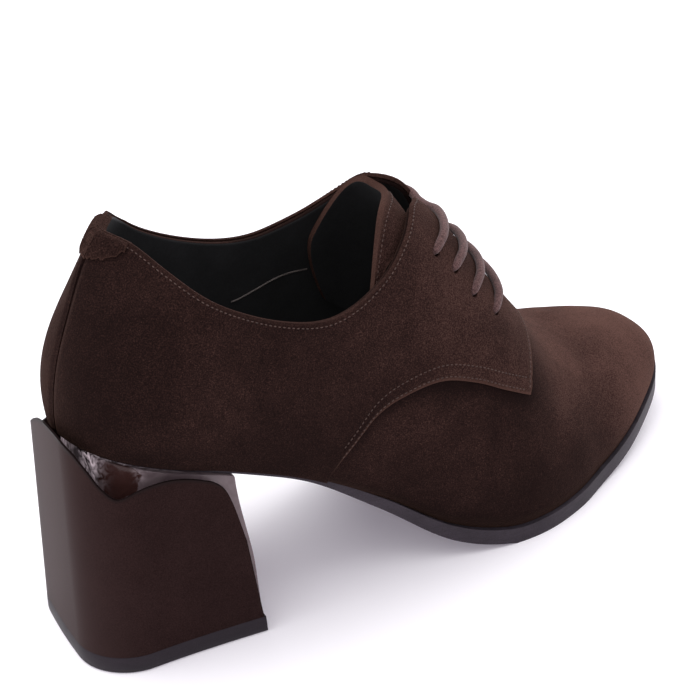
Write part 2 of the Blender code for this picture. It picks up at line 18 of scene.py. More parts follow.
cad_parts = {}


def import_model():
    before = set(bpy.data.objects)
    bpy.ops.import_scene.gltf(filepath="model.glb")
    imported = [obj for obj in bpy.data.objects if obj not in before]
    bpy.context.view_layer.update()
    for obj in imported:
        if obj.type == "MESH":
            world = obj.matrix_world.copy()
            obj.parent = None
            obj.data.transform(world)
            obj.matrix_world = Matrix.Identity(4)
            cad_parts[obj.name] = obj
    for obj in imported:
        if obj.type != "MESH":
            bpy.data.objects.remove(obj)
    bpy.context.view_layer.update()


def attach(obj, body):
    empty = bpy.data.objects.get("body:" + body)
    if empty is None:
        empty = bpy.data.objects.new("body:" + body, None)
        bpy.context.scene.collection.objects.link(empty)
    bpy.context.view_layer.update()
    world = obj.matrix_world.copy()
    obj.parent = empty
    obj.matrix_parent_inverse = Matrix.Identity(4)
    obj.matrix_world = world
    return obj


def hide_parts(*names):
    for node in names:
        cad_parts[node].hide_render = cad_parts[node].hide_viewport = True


LOG = logging.getLogger("shoe")
MM = 0.001
ORIGIN = np.array((117.29, -3.78, 0.0))
Array = np.ndarray
Mesh = bmesh.types.BMesh
Piece = bpy.types.Object
Finish = bpy.types.Material
Socket = bpy.types.NodeSocket
Colour = tuple[float, float, float]
Value = Socket | float | Colour
Fields = dict[str, Array]


class Side(Enum):
    """The two sides of a right shoe."""

    OUTER = -1.0
    INNER = 1.0


def ease(t: Array | float) -> Array:
    """Smooth step from 0 to 1."""
    t = np.clip(t, 0.0, 1.0)
    return t * t * (3 - 2 * t)


def rise(value: Array, start: float, length: float) -> Array:
    """Smooth step from 0 to 1 that begins at a start and takes a length."""
    return ease((value - start) / length)


def hump(distance: Array, width: float) -> Array:
    """A soft hump of height 1 that fades out over a width."""
    return np.exp(-((distance / width) ** 2))


def side_of(y: Array) -> Array:
    """The value of the Side that each place lies on, by the sign of its y."""
    return np.where(y < 0, Side.OUTER.value, Side.INNER.value)


def scene_places(points: Array) -> Array:
    """Millimetres of the maker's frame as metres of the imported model's frame."""
    return (points - ORIGIN) * MM


def paint(red: int, green: int, blue: int) -> Colour:
    """A colour on a 0 to 255 display scale as linear light."""
    shares = [value / 255 for value in (red, green, blue)]
    return tuple(s / 12.92 if s < 0.04 else ((s + 0.055) / 1.055) ** 2.4 for s in shares)


@dataclass(frozen=True)
class Track:
    """A smooth curve through rows of places and values."""

    places: tuple[float, ...]
    values: tuple[float, ...]

    def __call__(self, at: Array | float) -> Array:
        """Reads the curve.

        Args:
            at: The places to read, held inside the first and last row.

        Returns:
            The values there.
        """
        places, values = np.array(self.places), np.array(self.values)
        last = len(places) - 1
        order = np.arange(last + 1)
        low, high = np.maximum(order - 1, 0), np.minimum(order + 1, last)
        slopes = (values[high] - values[low]) / (places[high] - places[low])
        at = np.clip(at, places[0], places[-1])
        i = np.clip(np.searchsorted(places, at, side="right") - 1, 0, last - 1)
        span = places[i + 1] - places[i]
        t = (at - places[i]) / span
        through = (1 + 2 * t) * (1 - t) ** 2 * values[i] + t * t * (3 - 2 * t) * values[i + 1]
        lean = t * (1 - t) ** 2 * slopes[i] - t * t * (1 - t) * slopes[i + 1]
        return through + lean * span


def tracks(names: str, rows: tuple[tuple[float, ...], ...]) -> dict[str, Track]:
    """Turns a table into one curve per named column.

    Args:
        names: The columns' names, the first of them the place.
        rows: The table's rows.

    Returns:
        A curve for each name.
    """
    columns = list(zip(*rows))
    return {name: Track(columns[0], column) for name, column in zip(names.split(), columns)}


SECTIONS = tracks("x axis outer inner feather ridge tuck_outer tuck_inner power", (
    (9.8, 0.0, 29.0, 28.5, 74.5, 166.0, 2.5, 2.5, 0.75),
    (30.0, 0.0, 29.0, 28.5, 66.5, 166.0, 2.5, 2.5, 0.75),
    (50.0, 0.0, 30.0, 29.0, 58.0, 168.0, 3.0, 3.5, 0.75),
    (75.0, 0.0, 32.0, 29.5, 45.0, 170.0, 4.0, 5.0, 0.75),
    (100.0, 0.5, 36.0, 30.5, 28.0, 154.0, 4.0, 5.0, 0.78),
    (120.0, 1.0, 42.2, 32.0, 13.2, 128.5, 2.5, 4.0, 0.82),
    (139.0, 1.5, 47.2, 33.5, 6.4, 104.2, 1.6, 2.5, 0.86),
    (154.0, 2.0, 48.5, 35.5, 5.8, 81.0, 1.2, 1.8, 0.86),
    (170.0, 3.0, 46.0, 36.0, 5.8, 58.6, 1.2, 1.5, 0.84),
    (185.0, 4.0, 41.0, 34.0, 6.8, 44.6, 1.2, 1.2, 0.82),
    (201.0, 4.0, 35.8, 31.2, 9.4, 39.5, 1.2, 1.2, 0.80),
    (215.0, 4.0, 31.5, 28.0, 12.4, 39.3, 1.2, 1.2, 0.80),
    (226.0, 4.0, 29.4, 25.5, 15.3, 41.0, 1.2, 1.2, 0.80),
    (234.5, 4.0, 28.0, 24.0, 17.8, 41.5, 1.2, 1.2, 0.80),
))
BACK_LEAN = tracks("height forward", (
    (60.0, 1.0), (79.0, 0.0), (95.0, 3.0), (112.0, 9.8), (126.0, 16.5), (138.0, 25.5), (175.0, 56.0),
))
COLLAR = tracks("x outer inner", (
    (9.8, 133.0, 133.0), (18.0, 130.0, 131.8), (28.0, 124.5, 127.4), (40.0, 117.5, 120.8),
    (52.0, 111.0, 113.8), (71.0, 102.0, 104.6), (84.0, 98.3, 99.7), (94.5, 99.9, 98.0),
    (105.5, 105.6, 99.2), (114.5, 112.4, 102.0), (123.0, 116.8, 107.4), (129.0, 114.6, 113.6),
))
THROAT = tracks("x outer inner", (
    (129.0, 13.0, 12.0), (133.0, 10.6, 6.5), (138.0, 9.2, 3.4), (171.5, 5.0, 2.0),
))
SEAM = tracks("x height", (
    (81.0, 44.0), (87.0, 52.0), (96.5, 62.0), (107.0, 66.5), (118.5, 67.8), (130.0, 63.5),
    (140.0, 57.3), (150.0, 51.2),
))
SOLE = tracks("x thick edge", (
    (9.8, 2.0, -5.0), (60.0, 2.0, -5.0), (78.0, 2.2, -5.5), (95.0, 4.0, -4.0), (112.0, 5.4, -1.6),
    (130.0, 5.5, -0.2), (170.0, 5.5, 0.3), (234.5, 5.5, 0.5),
))
HEEL_WAVE = tracks("share outer inner", (
    (0.00, 36.2, 36.2), (0.02, 49.0, 49.0), (0.04, 55.6, 55.6), (0.08, 59.2, 58.2), (0.12, 60.8, 59.0),
    (0.20, 63.0, 60.6), (0.28, 64.2, 61.8), (0.36, 64.4, 62.4), (0.44, 63.9, 62.6), (0.50, 62.6, 62.4),
    (0.54, 62.6, 62.3), (0.60, 66.8, 62.6), (0.64, 71.0, 63.6), (0.68, 74.2, 65.2), (0.72, 76.5, 67.4),
    (0.80, 78.5, 71.8), (0.88, 78.8, 75.4), (1.00, 78.2, 78.2),
))


@dataclass(frozen=True)
class Last:
    """The form that the upper, the sole and the insole follow."""

    heel_back: float = 9.8
    toe_tip: float = 234.5
    heel_round: float = 45.0
    toe_round: float = 185.0
    toe_drop: float = 195.0
    seat_power: float = 2.4
    tab_power: float = 1.25
    tab_from: float = 82.0
    tab_length: float = 50.0
    toe_power: float = 2.2
    lean_reach: float = 70.0
    tuck_share: float = 0.22
    tuck_most: float = 0.6
    facing_top: float = 129.0
    throat_end: float = 171.5

    def bluntness(self, height: Array) -> Array:
        """How blunt the heel's back is at a height."""
        climb = rise(height, self.tab_from, self.tab_length)
        return self.seat_power + (self.tab_power - self.seat_power) * climb

    def width(self, x: Array, side: Array | float,
              power: Array | float | None = None) -> Array:
        """Half width of the last at its widest.

        Args:
            x: Stations along the shoe.
            side: The value of a Side, or an array of them.
            power: Bluntness of the heel's back; that of the seat where it is left out.

        Returns:
            The half widths.
        """
        power = self.seat_power if power is None else power
        half = np.where(np.asarray(side) < 0, SECTIONS["outer"](x), SECTIONS["inner"](x))
        heel = np.clip((self.heel_round - x) / (self.heel_round - self.heel_back), 0, 1)
        toe = np.clip((x - self.toe_round) / (self.toe_tip - self.toe_round), 0, 1)
        half = half * np.maximum(0, 1 - heel**power) ** (1 / power)
        return half * np.maximum(0, 1 - toe**self.toe_power) ** (1 / self.toe_power)

    def tuck(self, x: Array, side: Array | float) -> Array:
        """How far the feather line lies inside the widest line."""
        tuck = np.where(np.asarray(side) < 0, SECTIONS["tuck_outer"](x), SECTIONS["tuck_inner"](x))
        return np.minimum(tuck, self.tuck_most * self.width(x, side))

    def crown(self, x: Array) -> Array:
        """Height of a section's crown above its feather line."""
        far = np.clip((x - self.toe_drop) / (self.toe_tip - self.toe_drop), 0, 1)
        return (SECTIONS["ridge"](x) - SECTIONS["feather"](x)) * np.sqrt(1 - far * far)

    def point(self, x: Array, turn: Array, side: Array | float) -> Array:
        """Points of the surface.

        Args:
            x: Stations along the shoe.
            turn: 0 at the feather line to 1 at the crown.
            side: The value of a Side, or an array of them.

        Returns:
            Points in the maker's frame.
        """
        angle = np.asarray(turn) * np.pi / 2
        power = SECTIONS["power"](x)
        share = np.sin(angle) ** power
        height = SECTIONS["feather"](x) + self.crown(x) * share
        half = self.width(x, side, self.bluntness(height)) * np.maximum(0, np.cos(angle)) ** power
        half = half - self.tuck(x, side) * np.clip(1 - share / self.tuck_share, 0, 1) ** 2
        fade = 1 - rise(x, self.heel_back, self.lean_reach)
        forward = x + BACK_LEAN["forward"](height) * fade
        return np.stack(np.broadcast_arrays(forward, SECTIONS["axis"](x) + side * half, height), -1)

    def outward(self, x: Array, turn: Array, side: Array | float) -> Array:
        """The directions that the surface faces.

        Args:
            x: Stations along the shoe.
            turn: 0 at the feather line to 1 at the crown.
            side: The value of a Side, or an array of them.

        Returns:
            Directions of length 1.
        """
        along = self.point(x + 0.5, turn, side) - self.point(x - 0.5, turn, side)
        high, low = np.minimum(1, turn + 0.01), np.maximum(0, turn - 0.01)
        out = np.cross(along, self.point(x, high, side) - self.point(x, low, side))
        out[..., 1] = np.where(np.asarray(turn) > 0.999, 0.0, out[..., 1])
        out = out / np.maximum(np.linalg.norm(out, axis=-1, keepdims=True), 1e-9)
        heart = SECTIONS["feather"](x) + 0.4 * self.crown(x)
        middle = np.stack((np.maximum(x, self.heel_round), SECTIONS["axis"](x), heart), -1)
        facing = np.sum(out * (self.point(x, turn, side) - middle), axis=-1, keepdims=True)
        return np.where(facing < 0, -out, out)

    def at(self, x: Array, turn: Array, side: Array | float,
           lift: Array | float = 0.0) -> Array:
        """Points that stand off the surface by a lift, which is below 0 inside it."""
        x, turn, side, lift = np.broadcast_arrays(np.asarray(x, float), turn, side, lift)
        return self.point(x, turn, side) + self.outward(x, turn, side) * lift[..., None]

    def turn_at_height(self, x: Array, height: Array) -> Array:
        """The turn at which a section reaches a height."""
        share = np.clip((height - SECTIONS["feather"](x)) / np.maximum(self.crown(x), 1e-6), 0, 1)
        return np.arcsin(share ** (1 / SECTIONS["power"](x))) / (np.pi / 2)

    def turn_at_width(self, x: Array, side: Array | float, half: Array) -> Array:
        """The turn at which a section's upper part comes in to a half width."""
        share = np.minimum(1.0, half / np.maximum(self.width(x, side), 1e-6))
        return np.arccos(share ** (1 / SECTIONS["power"](x))) / (np.pi / 2)

    def rim_turn(self, x: Array, side: float, lift: float = 0.0) -> Array:
        """Turn of the upper's top edge.

        Args:
            x: Stations along the shoe.
            side: The value of a Side.
            lift: How far above the wall's own rim the edge stands.

        Returns:
            The turn of the collar, of the facing's edge or, past the throat, of the crown.
        """
        name = "outer" if side < 0 else "inner"
        collar = self.turn_at_height(x, COLLAR[name](x) + lift)
        gap = np.maximum(THROAT[name](x) - lift, 0.1)
        facing = self.turn_at_width(x, side, gap)
        collar = np.where(x > self.heel_round, np.minimum(collar, facing), collar)
        return np.where(x <= self.facing_top, collar, np.where(x <= self.throat_end, facing, 1.0))


LAST = Last()


def run_lengths(points: Array, axis: int) -> Array:
    """Way along a lattice of points, from its start.

    Args:
        points: The lattice.
        axis: 0 for the way along its columns, 1 for the way along its rows.

    Returns:
        The way at each point.
    """
    steps = np.linalg.norm(np.diff(points, axis=axis), axis=-1)
    start = np.zeros_like(np.take(steps, [0], axis=axis))
    return np.concatenate((start, np.cumsum(steps, axis=axis)), axis=axis)


def crowded(start: float, end: float, count: int) -> Array:
    """count + 1 places from start to end, crowded towards the end."""
    return start + (end - start) * np.sin(np.linspace(0, np.pi / 2, count + 1))


def slab_stations(start: float, end: float, count: int) -> Array:
    """Places along a slab, crowded towards both of its round ends.

    Args:
        start: The first place.
        end: The last place.
        count: How many steps there are.

    Returns:
        The places.
    """
    middle = (start + end) / 2
    back = crowded(middle, start, count // 2)[::-1]
    return np.concatenate((back, crowded(middle, end, count // 2)[1:]))


def new_mesh() -> Mesh:
    """Starts a mesh.

    Returns:
        An empty mesh with a UV map.
    """
    bm = bmesh.new()
    bm.loops.layers.uv.new("UVMap")
    return bm


def open_edges(bm: Mesh) -> list:
    """The edges along a mesh's open rims."""
    return [edge for edge in bm.edges if edge.is_boundary]


def sheet(bm: Mesh, points: Array, fields: Fields | None = None) -> list:
    """Lays a grid through a lattice of points.

    Args:
        bm: The mesh that takes the grid.
        points: Lattice of rows and columns of points, in millimetres of the maker's frame.
        fields: Named numbers for each point, kept as attributes of the vertices.

    Returns:
        The grid's faces.
    """
    rows, columns = points.shape[0] - 1, points.shape[1] - 1
    places = scene_places(points)
    layers = {name: bm.verts.layers.float.get(name) or bm.verts.layers.float.new(name)
              for name in fields or {}}
    verts = bmesh.ops.create_grid(bm, x_segments=columns, y_segments=rows, size=0.5,
                                  calc_uvs=bool(bm.loops.layers.uv))["verts"]
    for vert in verts:
        row = round((vert.co.y + 0.5) * rows)
        column = round((vert.co.x + 0.5) * columns)
        vert.co = places[row, column]
        for name, layer in layers.items():
            vert[layer] = fields[name][row, column]
    return list({face for vert in verts for face in vert.link_faces})


def round_edges(bm: Mesh, edges: list, rounding: float) -> None:
    """Rounds edges by a size in millimetres."""
    bmesh.ops.bevel(bm, geom=edges, offset=rounding * MM, offset_type="OFFSET", segments=2,
                    profile=0.5, affect="EDGES", material=-1, clamp_overlap=True)


def close_ends(bm: Mesh, reach: float) -> list:
    """Merges the seam of a rolled-up sheet and fills its two ends.

    Args:
        bm: The mesh with the sheet.
        reach: How near to each other points are merged, in millimetres.

    Returns:
        The edges round the ends.
    """
    bmesh.ops.remove_doubles(bm, verts=bm.verts, dist=reach * MM)
    rim = open_edges(bm)
    bmesh.ops.holes_fill(bm, edges=rim)
    bmesh.ops.recalc_face_normals(bm, faces=bm.faces)
    return rim


def slab(outer: Array, inner: Array, rounding: float, fields: Fields | None = None,
         inner_slot: int = 0) -> Mesh:
    """A closed slab between two lattices of points, with a rounded rim.

    Args:
        outer: The face that shows, as a lattice of points.
        inner: The face behind it, with as many points.
        rounding: How much the two edges of the rim are rounded, in millimetres.
        fields: Named numbers for each point.
        inner_slot: Material slot of the face behind; the rim has that of the face that shows.

    Returns:
        The slab's mesh.
    """
    bm = new_mesh()
    sheet(bm, outer, fields)
    for face in sheet(bm, inner, fields):
        face.material_index = inner_slot
    rim = open_edges(bm)
    for face in bmesh.ops.bridge_loops(bm, edges=rim)["faces"]:
        face.material_index = 0
    round_edges(bm, rim, rounding)
    bmesh.ops.recalc_face_normals(bm, faces=bm.faces)
    return bm


def tube(path: Array, radius: float, sides: int) -> Mesh:
    """A round cord along a path, with its own way along and around as its UV map.

    Args:
        path: Points of the cord's middle line, in millimetres.
        radius: The cord's radius, in millimetres.
        sides: Faces around the cord.

    Returns:
        The cord's mesh, closed at both ends.
    """
    ahead = np.gradient(path, axis=0)
    ahead /= np.linalg.norm(ahead, axis=1, keepdims=True)
    across = [np.cross(ahead[0], (0.0, 0.0, 1.0))]
    for direction in ahead[1:]:
        across.append(across[-1] - direction * np.dot(across[-1], direction))
    across = np.array(across)
    across /= np.linalg.norm(across, axis=1, keepdims=True)
    above = np.cross(ahead, across)
    angle = np.linspace(0, 2 * np.pi, sides + 1)[:, None, None]
    bm = new_mesh()
    sheet(bm, path + radius * (np.cos(angle) * across + np.sin(angle) * above))
    close_ends(bm, 0.005)
    return bm


def finished(name: str, bm: Mesh) -> bpy.types.Mesh:
    """Makes a bmesh a named mesh.

    Args:
        name: The mesh's name.
        bm: The bmesh, which is used up.

    Returns:
        The mesh.
    """
    mesh = bpy.data.meshes.new(name)
    bm.to_mesh(mesh)
    bm.free()
    return mesh


def put_in_scene(name: str, data: bpy.types.ID) -> Piece:
    """Puts a new object into the scene.

    Args:
        name: The object's name.
        data: Its mesh, lamp or camera.

    Returns:
        The object.
    """
    thing = bpy.data.objects.new(name, data)
    bpy.context.scene.collection.objects.link(thing)
    return thing


def make_piece(name: str, bm: Mesh, materials: list[Finish], nodes: tuple[str, ...] = (),
               sharp: float = 50.0) -> Piece:
    """Makes a finished mesh a piece of the shoe.

    Args:
        name: The piece's name.
        bm: Its mesh, which is used up.
        materials: Its finishes, by material slot.
        nodes: The construction model's nodes that it stands for.
        sharp: Edges over this angle, in degrees, stay sharp.

    Returns:
        The piece.
    """
    mesh = finished(name, bm)
    mesh.shade_smooth()
    mesh.set_sharp_from_angle(angle=math.radians(sharp))
    for material in materials:
        mesh.materials.append(material)
    piece = put_in_scene(name, mesh)
    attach(piece, "root")
    if nodes:
        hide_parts(*nodes)
    LOG.info("%s: %d faces", name, len(mesh.polygons))
    return piece


class Bench:
    """The node tree of one finish while it is made up."""

    def __init__(self, name: str) -> None:
        """Starts a material with its shader and its coordinates.

        Args:
            name: The material's name.
        """
        self.material = bpy.data.materials.new(name)
        self.material.use_nodes = True
        self.tree = self.material.node_tree
        self.shader = self.tree.nodes["Principled BSDF"]
        self.coordinates = self.tree.nodes.new("ShaderNodeTexCoord")

    def feed(self, socket: Socket, value: Value) -> None:
        """Gives a socket what it reads.

        Args:
            socket: The socket.
            value: A source to link, or a plain number, vector or colour.
        """
        if isinstance(value, Socket):
            self.tree.links.new(value, socket)
        elif socket.type == "RGBA":
            socket.default_value = (*value, 1.0)
        else:
            socket.default_value = value

    def node(self, kind: str, **inputs: Value) -> bpy.types.ShaderNode:
        """Adds a shader node.

        Args:
            kind: What kind of node it is.
            inputs: What its sockets read, by their names.

        Returns:
            The node.
        """
        node = self.tree.nodes.new("ShaderNode" + kind)
        for name, value in inputs.items():
            self.feed(node.inputs[name], value)
        return node

    def put(self, **values: Value) -> None:
        """Feeds the sockets of the finish's own shader, named with _ for a space."""
        for name, value in values.items():
            self.feed(self.shader.inputs[name.replace("_", " ")], value)

    def mapped(self, stretch: Colour = (1.0, 1.0, 1.0), shift: float = 0.0) -> Socket:
        """Object coordinates, stretched and shifted."""
        move = (shift, shift * 0.7, shift * 1.3)
        return self.node("Mapping", Vector=self.coordinates.outputs["Object"], Scale=stretch,
                         Location=move).outputs["Vector"]

    def noise(self, vector: Socket, scale: float, detail: float = 3.0, rough: float = 0.55,
              swirl: float = 0.0) -> Socket:
        """A noise from 0 to 1, at a number of features per metre."""
        return self.node("TexNoise", Vector=vector, Scale=scale, Detail=detail, Roughness=rough,
                         Distortion=swirl).outputs["Fac"]

    def math(self, operation: str, first: Socket | float, second: Socket | float = 0.0) -> Socket:
        """Works one sum.

        Args:
            operation: The sum, as the node names it.
            first: A source or a number.
            second: A source or a number.

        Returns:
            The result.
        """
        node = self.node("Math")
        node.operation = operation
        for socket, value in zip(node.inputs, (first, second)):
            self.feed(socket, value)
        return node.outputs["Value"]

    def scaled(self, source: Socket, factor: float, start: float) -> Socket:
        """A start plus a factor of a source."""
        return self.math("ADD", self.math("MULTIPLY", source, factor), start)

    def weigh(self, *parts: tuple[Socket, float]) -> Socket:
        """Adds sources up by their weights.

        Args:
            parts: The sources, each with its weight.

        Returns:
            The weighted sum.
        """
        total, *others = [self.math("MULTIPLY", source, weight) for source, weight in parts]
        for share in others:
            total = self.math("ADD", total, share)
        return total

    def ramp(self, factor: Socket, *stops: tuple[float, Colour]) -> Socket:
        """Lays colours along a factor.

        Args:
            factor: Where to read.
            stops: Places from 0 to 1, each with its colour.

        Returns:
            The colour.
        """
        node = self.node("ValToRGB", Fac=factor)
        elements = node.color_ramp.elements
        while len(elements) < len(stops):
            elements.new(0.5)
        for element, (place, colour) in zip(elements, stops):
            element.position = place
            element.color = (*colour, 1.0)
        return node.outputs["Color"]

    def mix(self, factor: Socket, first: Socket, second: Colour) -> Socket:
        """Mixes a colour into a source.

        Args:
            factor: How much of the colour there is.
            first: The source.
            second: The colour.

        Returns:
            The mixed colour.
        """
        node = self.node("Mix")
        node.data_type = "RGBA"
        node.clamp_factor = True
        for number, value in ((0, factor), (6, first), (7, second)):
            self.feed(node.inputs[number], value)
        return node.outputs[2]

    def attribute(self, name: str) -> Socket:
        """Reads a number kept in the mesh.

        Args:
            name: The attribute's name.

        Returns:
            The number, 0 where it isn't there.
        """
        node = self.node("Attribute")
        node.attribute_name = name
        return node.outputs["Fac"]

    def relief(self, height: Socket, strength: float, depth: float, under: Socket | None = None) -> Socket:
        """Raises a bump.

        Args:
            height: Its height from 0 to 1.
            strength: How strongly it shows.
            depth: How deep it is, in millimetres.
            under: Another bump that it lies on.

        Returns:
            The bent normal.
        """
        node = self.node("Bump", Strength=strength, Distance=depth * MM, Height=height)
        if under is not None:
            self.feed(node.inputs["Normal"], under)
        return node.outputs["Normal"]


@dataclass(frozen=True)
class Suede:
    """Brushed suede, whose nap lies in lighter and darker patches."""

    name: str
    dark: Colour = paint(23, 14, 13)
    middle: Colour = paint(44, 29, 26)
    light: Colour = paint(80, 57, 51)
    edge: Colour = paint(76, 54, 47)
    tint: Colour = paint(222, 170, 150)
    sheen: float = 0.08
    fibre: float = 2500.0
    depth: float = 0.4
    shift: float = 0.0
    patch_weight: float = 0.5
    stroke_weight: float = 0.2
    mottle_weight: float = 0.14
    grain_weight: float = 1.5
    nap_light_and_shade_weight: float = 0.36
    darken: float = 0.67

    def make(self) -> Finish:
        """The suede's material.

        Returns:
            The material, which reads the attributes nap, with its tone and its painted light and shade, and
            trim.
        """
        bench = Bench(self.name)
        flat = bench.mapped(shift=self.shift)
        patches = bench.noise(flat, 36.0, 3.0, 0.55, 0.6)
        strokes = bench.noise(bench.mapped((1.0, 1.0, 0.6), self.shift), 190.0, 4.0, 0.6, 0.4)
        mottle = bench.noise(flat, 480.0, 3.0, 0.65)
        grain = bench.noise(flat, self.fibre, 2.0, 0.7)
        # The nap attribute brings painted light and shade into the suede's colour.
        value = bench.weigh((patches, self.patch_weight), (strokes, self.stroke_weight),
                            (mottle, self.mottle_weight), (grain, self.grain_weight),
                            (bench.attribute("nap"), self.nap_light_and_shade_weight))
        value = bench.math("SUBTRACT", value, self.darken)
        colour = bench.ramp(value, (0.16, self.dark), (0.5, self.middle), (0.9, self.light))
        fine = bench.relief(grain, 0.6, self.depth)
        bench.put(Base_Color=bench.mix(bench.attribute("trim"), colour, self.edge),
                  Normal=bench.relief(mottle, 0.35, self.depth, fine), Roughness=0.95,
                  Specular_IOR_Level=0.03, Sheen_Weight=self.sheen, Sheen_Roughness=0.4,
                  Sheen_Tint=self.tint)
        return bench.material


@dataclass(frozen=True)
class Lining:
    """Thin black lining leather with a fine grain and a faint painted glow that lifts it out of shade."""

    name: str
    colour: Colour = paint(25, 25, 26)
    spread: float = 1.9
    painted_glow: float = 0.0016

    def make(self) -> Finish:
        """The lining's material.

        Returns:
            The material.
        """
        bench = Bench(self.name)
        flat = bench.mapped()
        grain = bench.noise(flat, 1500.0, 3.0, 0.6)
        value = bench.weigh((grain, 0.4), (bench.noise(flat, 90.0, 3.0), 0.6))
        brighter = tuple(self.spread * share for share in self.colour)
        # The faint emission is painted light on the lining.
        bench.put(Base_Color=bench.ramp(value, (0.35, self.colour), (0.7, brighter)),
                  Normal=bench.relief(grain, 0.35, 0.15), Roughness=0.7, Specular_IOR_Level=0.15,
                  Emission_Color=(1.0, 1.0, 1.0), Emission_Strength=self.painted_glow)
        return bench.material


@dataclass(frozen=True)
class HeelCover:
    """The satin cover of the heel, in coated brown."""

    name: str
    dark: Colour = paint(25, 14, 13)
    light: Colour = paint(42, 28, 27)
    painted_highlight: Colour = paint(56, 42, 41)
    edge: Colour = paint(24, 17, 17)
    tint: Colour = paint(255, 210, 206)

    def make(self) -> Finish:
        """The cover's material.

        Returns:
            The material, which reads the attributes sheen, a painted highlight, and trim.
        """
        bench = Bench(self.name)
        flat = bench.mapped()
        grain = bench.noise(flat, 3000.0, 2.0, 0.6)
        value = bench.weigh((bench.noise(flat, 70.0, 4.0, 0.6), 0.25), (grain, 0.75))
        colour = bench.ramp(value, (0.38, self.dark), (0.64, self.light))
        # The sheen attribute paints a broad highlight, lighter towards the cover's back.
        colour = bench.mix(bench.attribute("sheen"), colour, self.painted_highlight)
        bench.put(Base_Color=bench.mix(bench.attribute("trim"), colour, self.edge),
                  Roughness=bench.scaled(grain, 0.16, 0.36), Normal=bench.relief(grain, 0.25, 0.12),
                  Specular_IOR_Level=0.038, Specular_Tint=self.tint)
        return bench.material


@dataclass(frozen=True)
class ClearCore:
    """The smoky clear plastic of the heel, with the brown hollow behind it painted on as a refraction and
    with painted glints.
    """

    name: str
    smoke: Colour = paint(106, 91, 94)
    pale: Colour = paint(120, 105, 108)
    hollow: Colour = paint(64, 40, 37)
    painted_glint: Colour = paint(240, 220, 230)
    painted_glint_from: float = 0.4
    painted_glint_strength: float = 3.6
    refracted_hollow_from: float = 0.72
    refracted_hollow_edge: float = 30.0

    def make(self) -> Finish:
        """The plastic's material.

        Returns:
            The material, which reads the attributes hollow, where the brown hollow is painted in as a
            refraction, and the painted glow of its glints.
        """
        bench = Bench(self.name)
        flat = bench.mapped()
        waves = bench.noise(flat, 150.0, 2.0, 0.5, 1.2)
        colour = bench.ramp(waves, (0.35, self.smoke), (0.65, self.pale))
        # Painted refraction: the brown hollow seen through the plastic is painted onto its face.
        edge = bench.math("ADD", bench.attribute("hollow"), bench.math("MULTIPLY", waves, 0.5))
        edge = bench.math("SUBTRACT", edge, self.refracted_hollow_from)
        inside = bench.math("MULTIPLY", edge, self.refracted_hollow_edge)
        # Painted glints: spots of emission where the plastic catches the light.
        painted_glints = bench.math("SUBTRACT", bench.noise(flat, 330.0, 2.0, 0.6, 1.0), self.painted_glint_from)
        painted_sparkle = bench.math("MULTIPLY", bench.math("MAXIMUM", painted_glints, 0.0), self.painted_glint_strength)
        bench.put(Base_Color=bench.mix(inside, colour, self.hollow), Normal=bench.relief(waves, 0.2, 1.6),
                  Emission_Strength=bench.math("MULTIPLY", bench.attribute("painted_glow"), painted_sparkle),
                  Emission_Color=self.painted_glint, Roughness=0.3, IOR=1.46, Specular_IOR_Level=0.2,
                  Coat_Weight=0.2, Coat_Roughness=0.12)
        return bench.material


@dataclass(frozen=True)
class Rubber:
    """Moulded black rubber, scuffed a little grey."""

    name: str
    dark: Colour = paint(25, 22, 25)
    light: Colour = paint(55, 49, 56)
    tint: Colour = paint(255, 238, 252)

    def make(self) -> Finish:
        """The rubber's material.

        Returns:
            The material.
        """
        bench = Bench(self.name)
        flat = bench.mapped()
        clouds = bench.noise(flat, 120.0, 4.0, 0.6, 0.5)
        grain = bench.noise(flat, 2600.0, 2.0, 0.6)
        lines = bench.noise(bench.mapped((1.0, 1.0, 14.0)), 160.0, 2.0)
        value = bench.weigh((clouds, 0.35), (grain, 0.45), (lines, 0.2))
        fine = bench.relief(grain, 0.3, 0.12)
        bench.put(Base_Color=bench.ramp(value, (0.38, self.dark), (0.68, self.light)),
                  Roughness=bench.scaled(clouds, 0.25, 0.36),
                  Normal=bench.relief(lines, 0.15, 0.15, fine), Specular_IOR_Level=0.27,
                  Specular_Tint=self.tint)
        return bench.material


@dataclass(frozen=True)
class BraidedCord:
    """Soft round cord of a fine braid, whose strands cross along its own UV map."""

    name: str
    dark: Colour = paint(58, 41, 40)
    light: Colour = paint(106, 80, 78)
    strands: float = 8.0
    picks: float = 70.0

    def make(self) -> Finish:
        """The cord's material.

        Returns:
            The material.
        """
        bench = Bench(self.name)
        split = bench.node("SeparateXYZ", Vector=bench.coordinates.outputs["UV"])
        along = bench.math("MULTIPLY", split.outputs["X"], 2 * math.pi * self.picks)
        around = bench.math("MULTIPLY", split.outputs["Y"], 2 * math.pi * self.strands)
        one_way = bench.math("SINE", bench.math("ADD", along, around))
        other_way = bench.math("SINE", bench.math("SUBTRACT", along, around))
        braid = bench.math("MULTIPLY", one_way, other_way)
        fuzz = bench.noise(bench.mapped(), 1500.0, 3.0, 0.6)
        value = bench.weigh((braid, 0.07), (fuzz, 1.0))
        fine = bench.relief(fuzz, 0.5, 0.25)
        bench.put(Base_Color=bench.ramp(value, (0.3, self.dark), (0.7, self.light)),
                  Normal=bench.relief(braid, 0.3, 0.12, fine), Roughness=0.9,
                  Specular_IOR_Level=0.1, Sheen_Weight=0.15, Sheen_Roughness=0.5)
        return bench.material


@dataclass(frozen=True)
class Thread:
    """Twisted sewing thread."""

    name: str
    dark: Colour = paint(44, 30, 26)
    light: Colour = paint(84, 62, 54)

    def make(self) -> Finish:
        """The thread's material.

        Returns:
            The material.
        """
        bench = Bench(self.name)
        twist = bench.noise(bench.mapped(), 3200.0, 2.0, 0.5)
        bench.put(Base_Color=bench.ramp(twist, (0.35, self.dark), (0.65, self.light)),
                  Normal=bench.relief(twist, 0.4, 0.1), Roughness=0.6, Specular_IOR_Level=0.3)
        return bench.material


